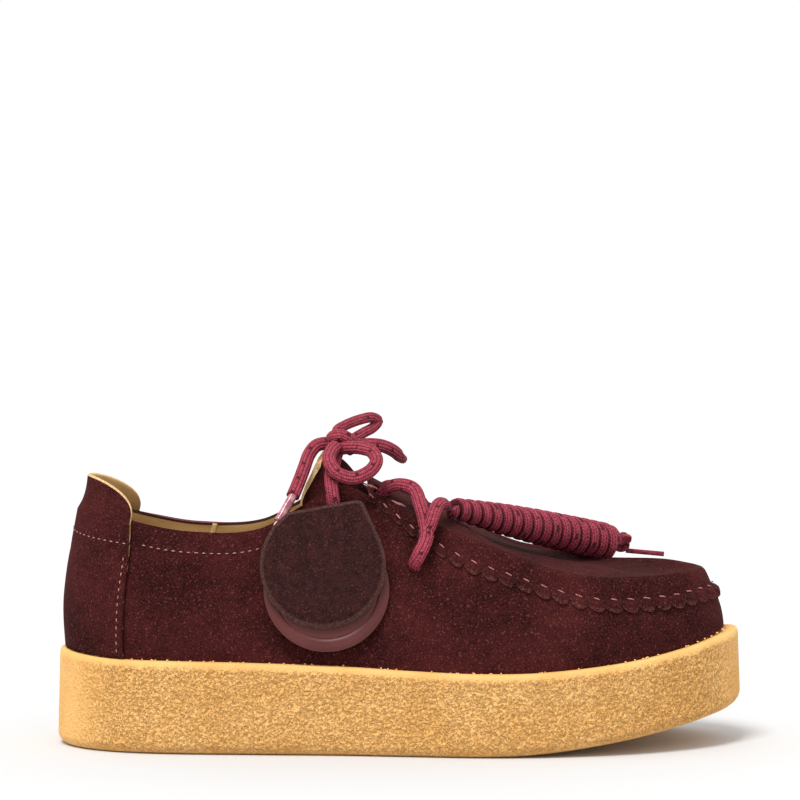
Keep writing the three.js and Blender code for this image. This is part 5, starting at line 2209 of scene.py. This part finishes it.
@dataclass
class Leaf:
    """One leaf of the fob: a round disc with a short slanted neck."""

    name: str
    node: str
    middle: tuple[float, float]
    depth: float
    tilt: float
    neck_half: float
    neck_rise: float
    right: float
    left: float
    radius: float = 26.0
    slant: float = 2.6
    thickness: float = 2.0
    relief: float = 0.6
    columns: int = 160
    groove_in: float = 2.2
    groove_deep: float = 0.3
    groove_wide: float = 0.6
    edge_deep: float = 0.55
    edge_wide: float = 0.9
    shares: tuple = (
        0.0, 0.2, 0.4, 0.55, 0.66, 0.74, 0.78, 0.795, 0.81, 0.817, 0.823, 0.83, 0.84,
        0.86, 0.88, 0.895, 0.907, 0.915, 0.923, 0.935, 0.95, 0.965, 0.98, 0.992, 1.0,
    )

    def outline(self) -> list[Vector]:
        """Return even points round the leaf's outline."""
        right, left = math.radians(self.right), math.radians(self.left)
        corners = [
            (self.radius * math.cos(right), self.radius * math.sin(right)),
            (self.neck_half + 1.6, self.neck_rise + self.slant - 1),
            (self.neck_half - 0.6, self.neck_rise + self.slant),
            (0.6 - self.neck_half, self.neck_rise - self.slant),
            (self.radius * math.cos(left), self.radius * math.sin(left)),
        ]
        for k in range(1, 60):
            angle = mix(left, 2 * math.pi + right, k / 60)
            corners.append((self.radius * math.cos(angle), self.radius * math.sin(angle)))
        corners.append(corners[0])
        return even_points([Vector(corner) for corner in corners], self.columns)

    def build(self, face: bpy.types.Material, edge: bpy.types.Material, slot: Slot) -> None:
        """Make and place the leaf.

        Args:
            face: The finish of its faces.
            edge: The finish of its cut edge.
            slot: The record's material slot.
        """
        outline = self.outline()
        shares = self.shares
        tilt = math.radians(self.tilt)

        def place(r: int, c: int) -> Vector:
            """Return one point of the leaf's front face."""
            x, y = outline[c % self.columns]
            x, y = x * shares[r], mix(3.0, y, shares[r])
            inset = (1 - shares[r]) * self.radius
            lift = -self.edge_deep * hump(inset, self.edge_wide)
            lift -= self.groove_deep * hump(inset - self.groove_in, self.groove_wide)
            lift += noise.noise(Vector((x, y, self.tilt)) / 15.0) * 0.25
            w = self.thickness + min(lift, 0.0)
            return Vector(
                (
                    self.middle[0] + x,
                    self.depth + y * math.sin(tilt) - w * math.cos(tilt),
                    self.middle[1] + y * math.cos(tilt) + w * math.sin(tilt),
                )
            )

        marks = {"rim": lambda r, c: 1 - smoothstep((1 - shares[r]) * self.radius, 1.2, 1.9)}
        leaf = Net(self.name, len(shares), self.columns + 1, place, marks=marks).make()
        face_out(leaf)
        if leaf.data.polygons[0].normal.y > 0:
            leaf.data.flip_normals()
        dress(leaf, face, edge)
        thicken(leaf, self.thickness - self.relief, inside=0, rim=1)
        smooth_by_angle(leaf, 50)
        settle(leaf, slot, self.node)


@dataclass
class Fob:
    """The two leaves of the fob that hang on the outer strand."""

    middle: tuple[float, float] = (-31.8, 79.0)
    drop: float = 10.2
    shift: float = 1.4
    back_tilt: float = 10.0
    front_tilt: float = 4.2
    radius: float = 26.0
    thickness: float = 2.0
    neck_half: float = 15.0
    neck_rise: float = 24.5
    behind: tuple[float, float] = (0.28, 0.52)

    def depths(self) -> tuple[float, float]:
        """Return how far out the back and front leaves hang."""
        back_x, back_z = self.middle[0] + self.shift, self.middle[1] - self.drop
        lean = math.tan(math.radians(self.back_tilt))
        depth = math.inf
        turn, last = self.behind
        while turn < last:
            for k in range(26):
                p = FORM.wall_point(Side.OUTER, turn, k * 0.04)
                if math.hypot(p.x - back_x, p.z - back_z) <= self.radius + 1:
                    depth = min(depth, p.y - (p.z - back_z) * lean)
            turn += 0.008
        depth -= 2 * FORM.clearance
        foot = self.middle[1] - self.radius
        face = depth + (foot - back_z) * lean
        face -= self.thickness / math.cos(math.radians(self.back_tilt))
        front = face - 1.5 * FORM.clearance
        front += self.radius * math.tan(math.radians(self.front_tilt))
        return depth, front

    def build(self, finishes: Wardrobe) -> None:
        """Make and place the leaves."""
        back, front = self.depths()
        low = (self.middle[0] + self.shift, self.middle[1] - self.drop)
        Leaf(
            "fob_leather_leaf", "fob_leather", low, depth=back, tilt=self.back_tilt,
            neck_half=self.neck_half - 2, neck_rise=self.neck_rise + self.drop - 1,
            right=48, left=138, groove_in=4.6, groove_deep=0.4, groove_wide=0.4,
        ).build(finishes.fob, finishes.raw_red, Slot.SMOOTH)
        Leaf(
            "fob_suede_leaf", "fob_suede", self.middle, depth=front, tilt=self.front_tilt,
            neck_half=self.neck_half, neck_rise=self.neck_rise, right=24, left=136,
        ).build(finishes.pressed, finishes.raw_red, Slot.SUEDE)


# Studio


@dataclass
class Studio:
    """A pale floor, soft light and the camera at the photograph's angle, in metres."""

    eye: Triple = (0.0, -1.6, 0.223)
    aim: Triple = (0.0, 0.0, 0.145)
    field: float = 12.085
    floor_grey: float = 0.615
    sun_from: Triple = (-0.24, -0.5, 1.0)
    sun_spread: float = 20.0
    sun_power: float = 2.5

    def camera(self) -> None:
        """Set up the camera."""
        data = bpy.data.cameras.new("camera")
        data.angle = math.radians(self.field)
        data.clip_end = 50
        camera = bpy.data.objects.new("camera", data)
        camera.location = self.eye
        way = Vector(self.aim) - Vector(self.eye)
        camera.rotation_euler = way.to_track_quat("-Z", "Y").to_euler()
        bpy.context.collection.objects.link(camera)
        bpy.context.scene.camera = camera

    def sky_light(self) -> None:
        """Set up the soft light from above, a little from the left and in front."""
        data = bpy.data.lights.new("sky_light", "SUN")
        data.angle = math.radians(self.sun_spread)
        data.energy = self.sun_power
        lamp = bpy.data.objects.new("sky_light", data)
        lamp.rotation_euler = (-Vector(self.sun_from)).to_track_quat("-Z", "Y").to_euler()
        bpy.context.collection.objects.link(lamp)

    def floor(self) -> None:
        """Set up the pale floor."""
        deselect()
        bpy.ops.mesh.primitive_plane_add(size=30, location=(0, 0, 0))
        floor = bpy.context.object
        floor.name = "floor"
        s = Surface("pale_floor")
        tone = (self.floor_grey, self.floor_grey, self.floor_grey, 1)
        s.set(Base_Color=tone, Roughness=0.9, Specular_IOR_Level=0.1)
        dress(floor, s.material)

    def build(self) -> None:
        """Set up the studio."""
        self.camera()
        self.floor()
        world = bpy.data.worlds.new("studio")
        world.use_nodes = True
        background = world.node_tree.nodes["Background"]
        background.inputs["Color"].default_value = (1, 1, 1, 1)
        background.inputs["Strength"].default_value = 1.0
        bpy.context.scene.world = world
        bpy.context.scene.view_settings.view_transform = "Standard"
        self.sky_light()


def main() -> None:
    """Build the shoe, piece by piece."""
    logging.basicConfig(level=logging.INFO, format="%(message)s")
    Studio().build()
    finishes = Wardrobe()
    Lacing().build(finishes)
    SpareLace().build(finishes)
    CrepeSole().build(finishes)
    Insole().build(finishes)
    SuedeUpper().build(finishes)
    Tongue().build(finishes)
    tab = HeelTab()
    tab.build(finishes)
    MocSeam().build(finishes)
    EdgeStitching().build(finishes, tab)
    Trims().build(finishes)
    Fob().build(finishes)


if __name__ == "__main__":
    main()
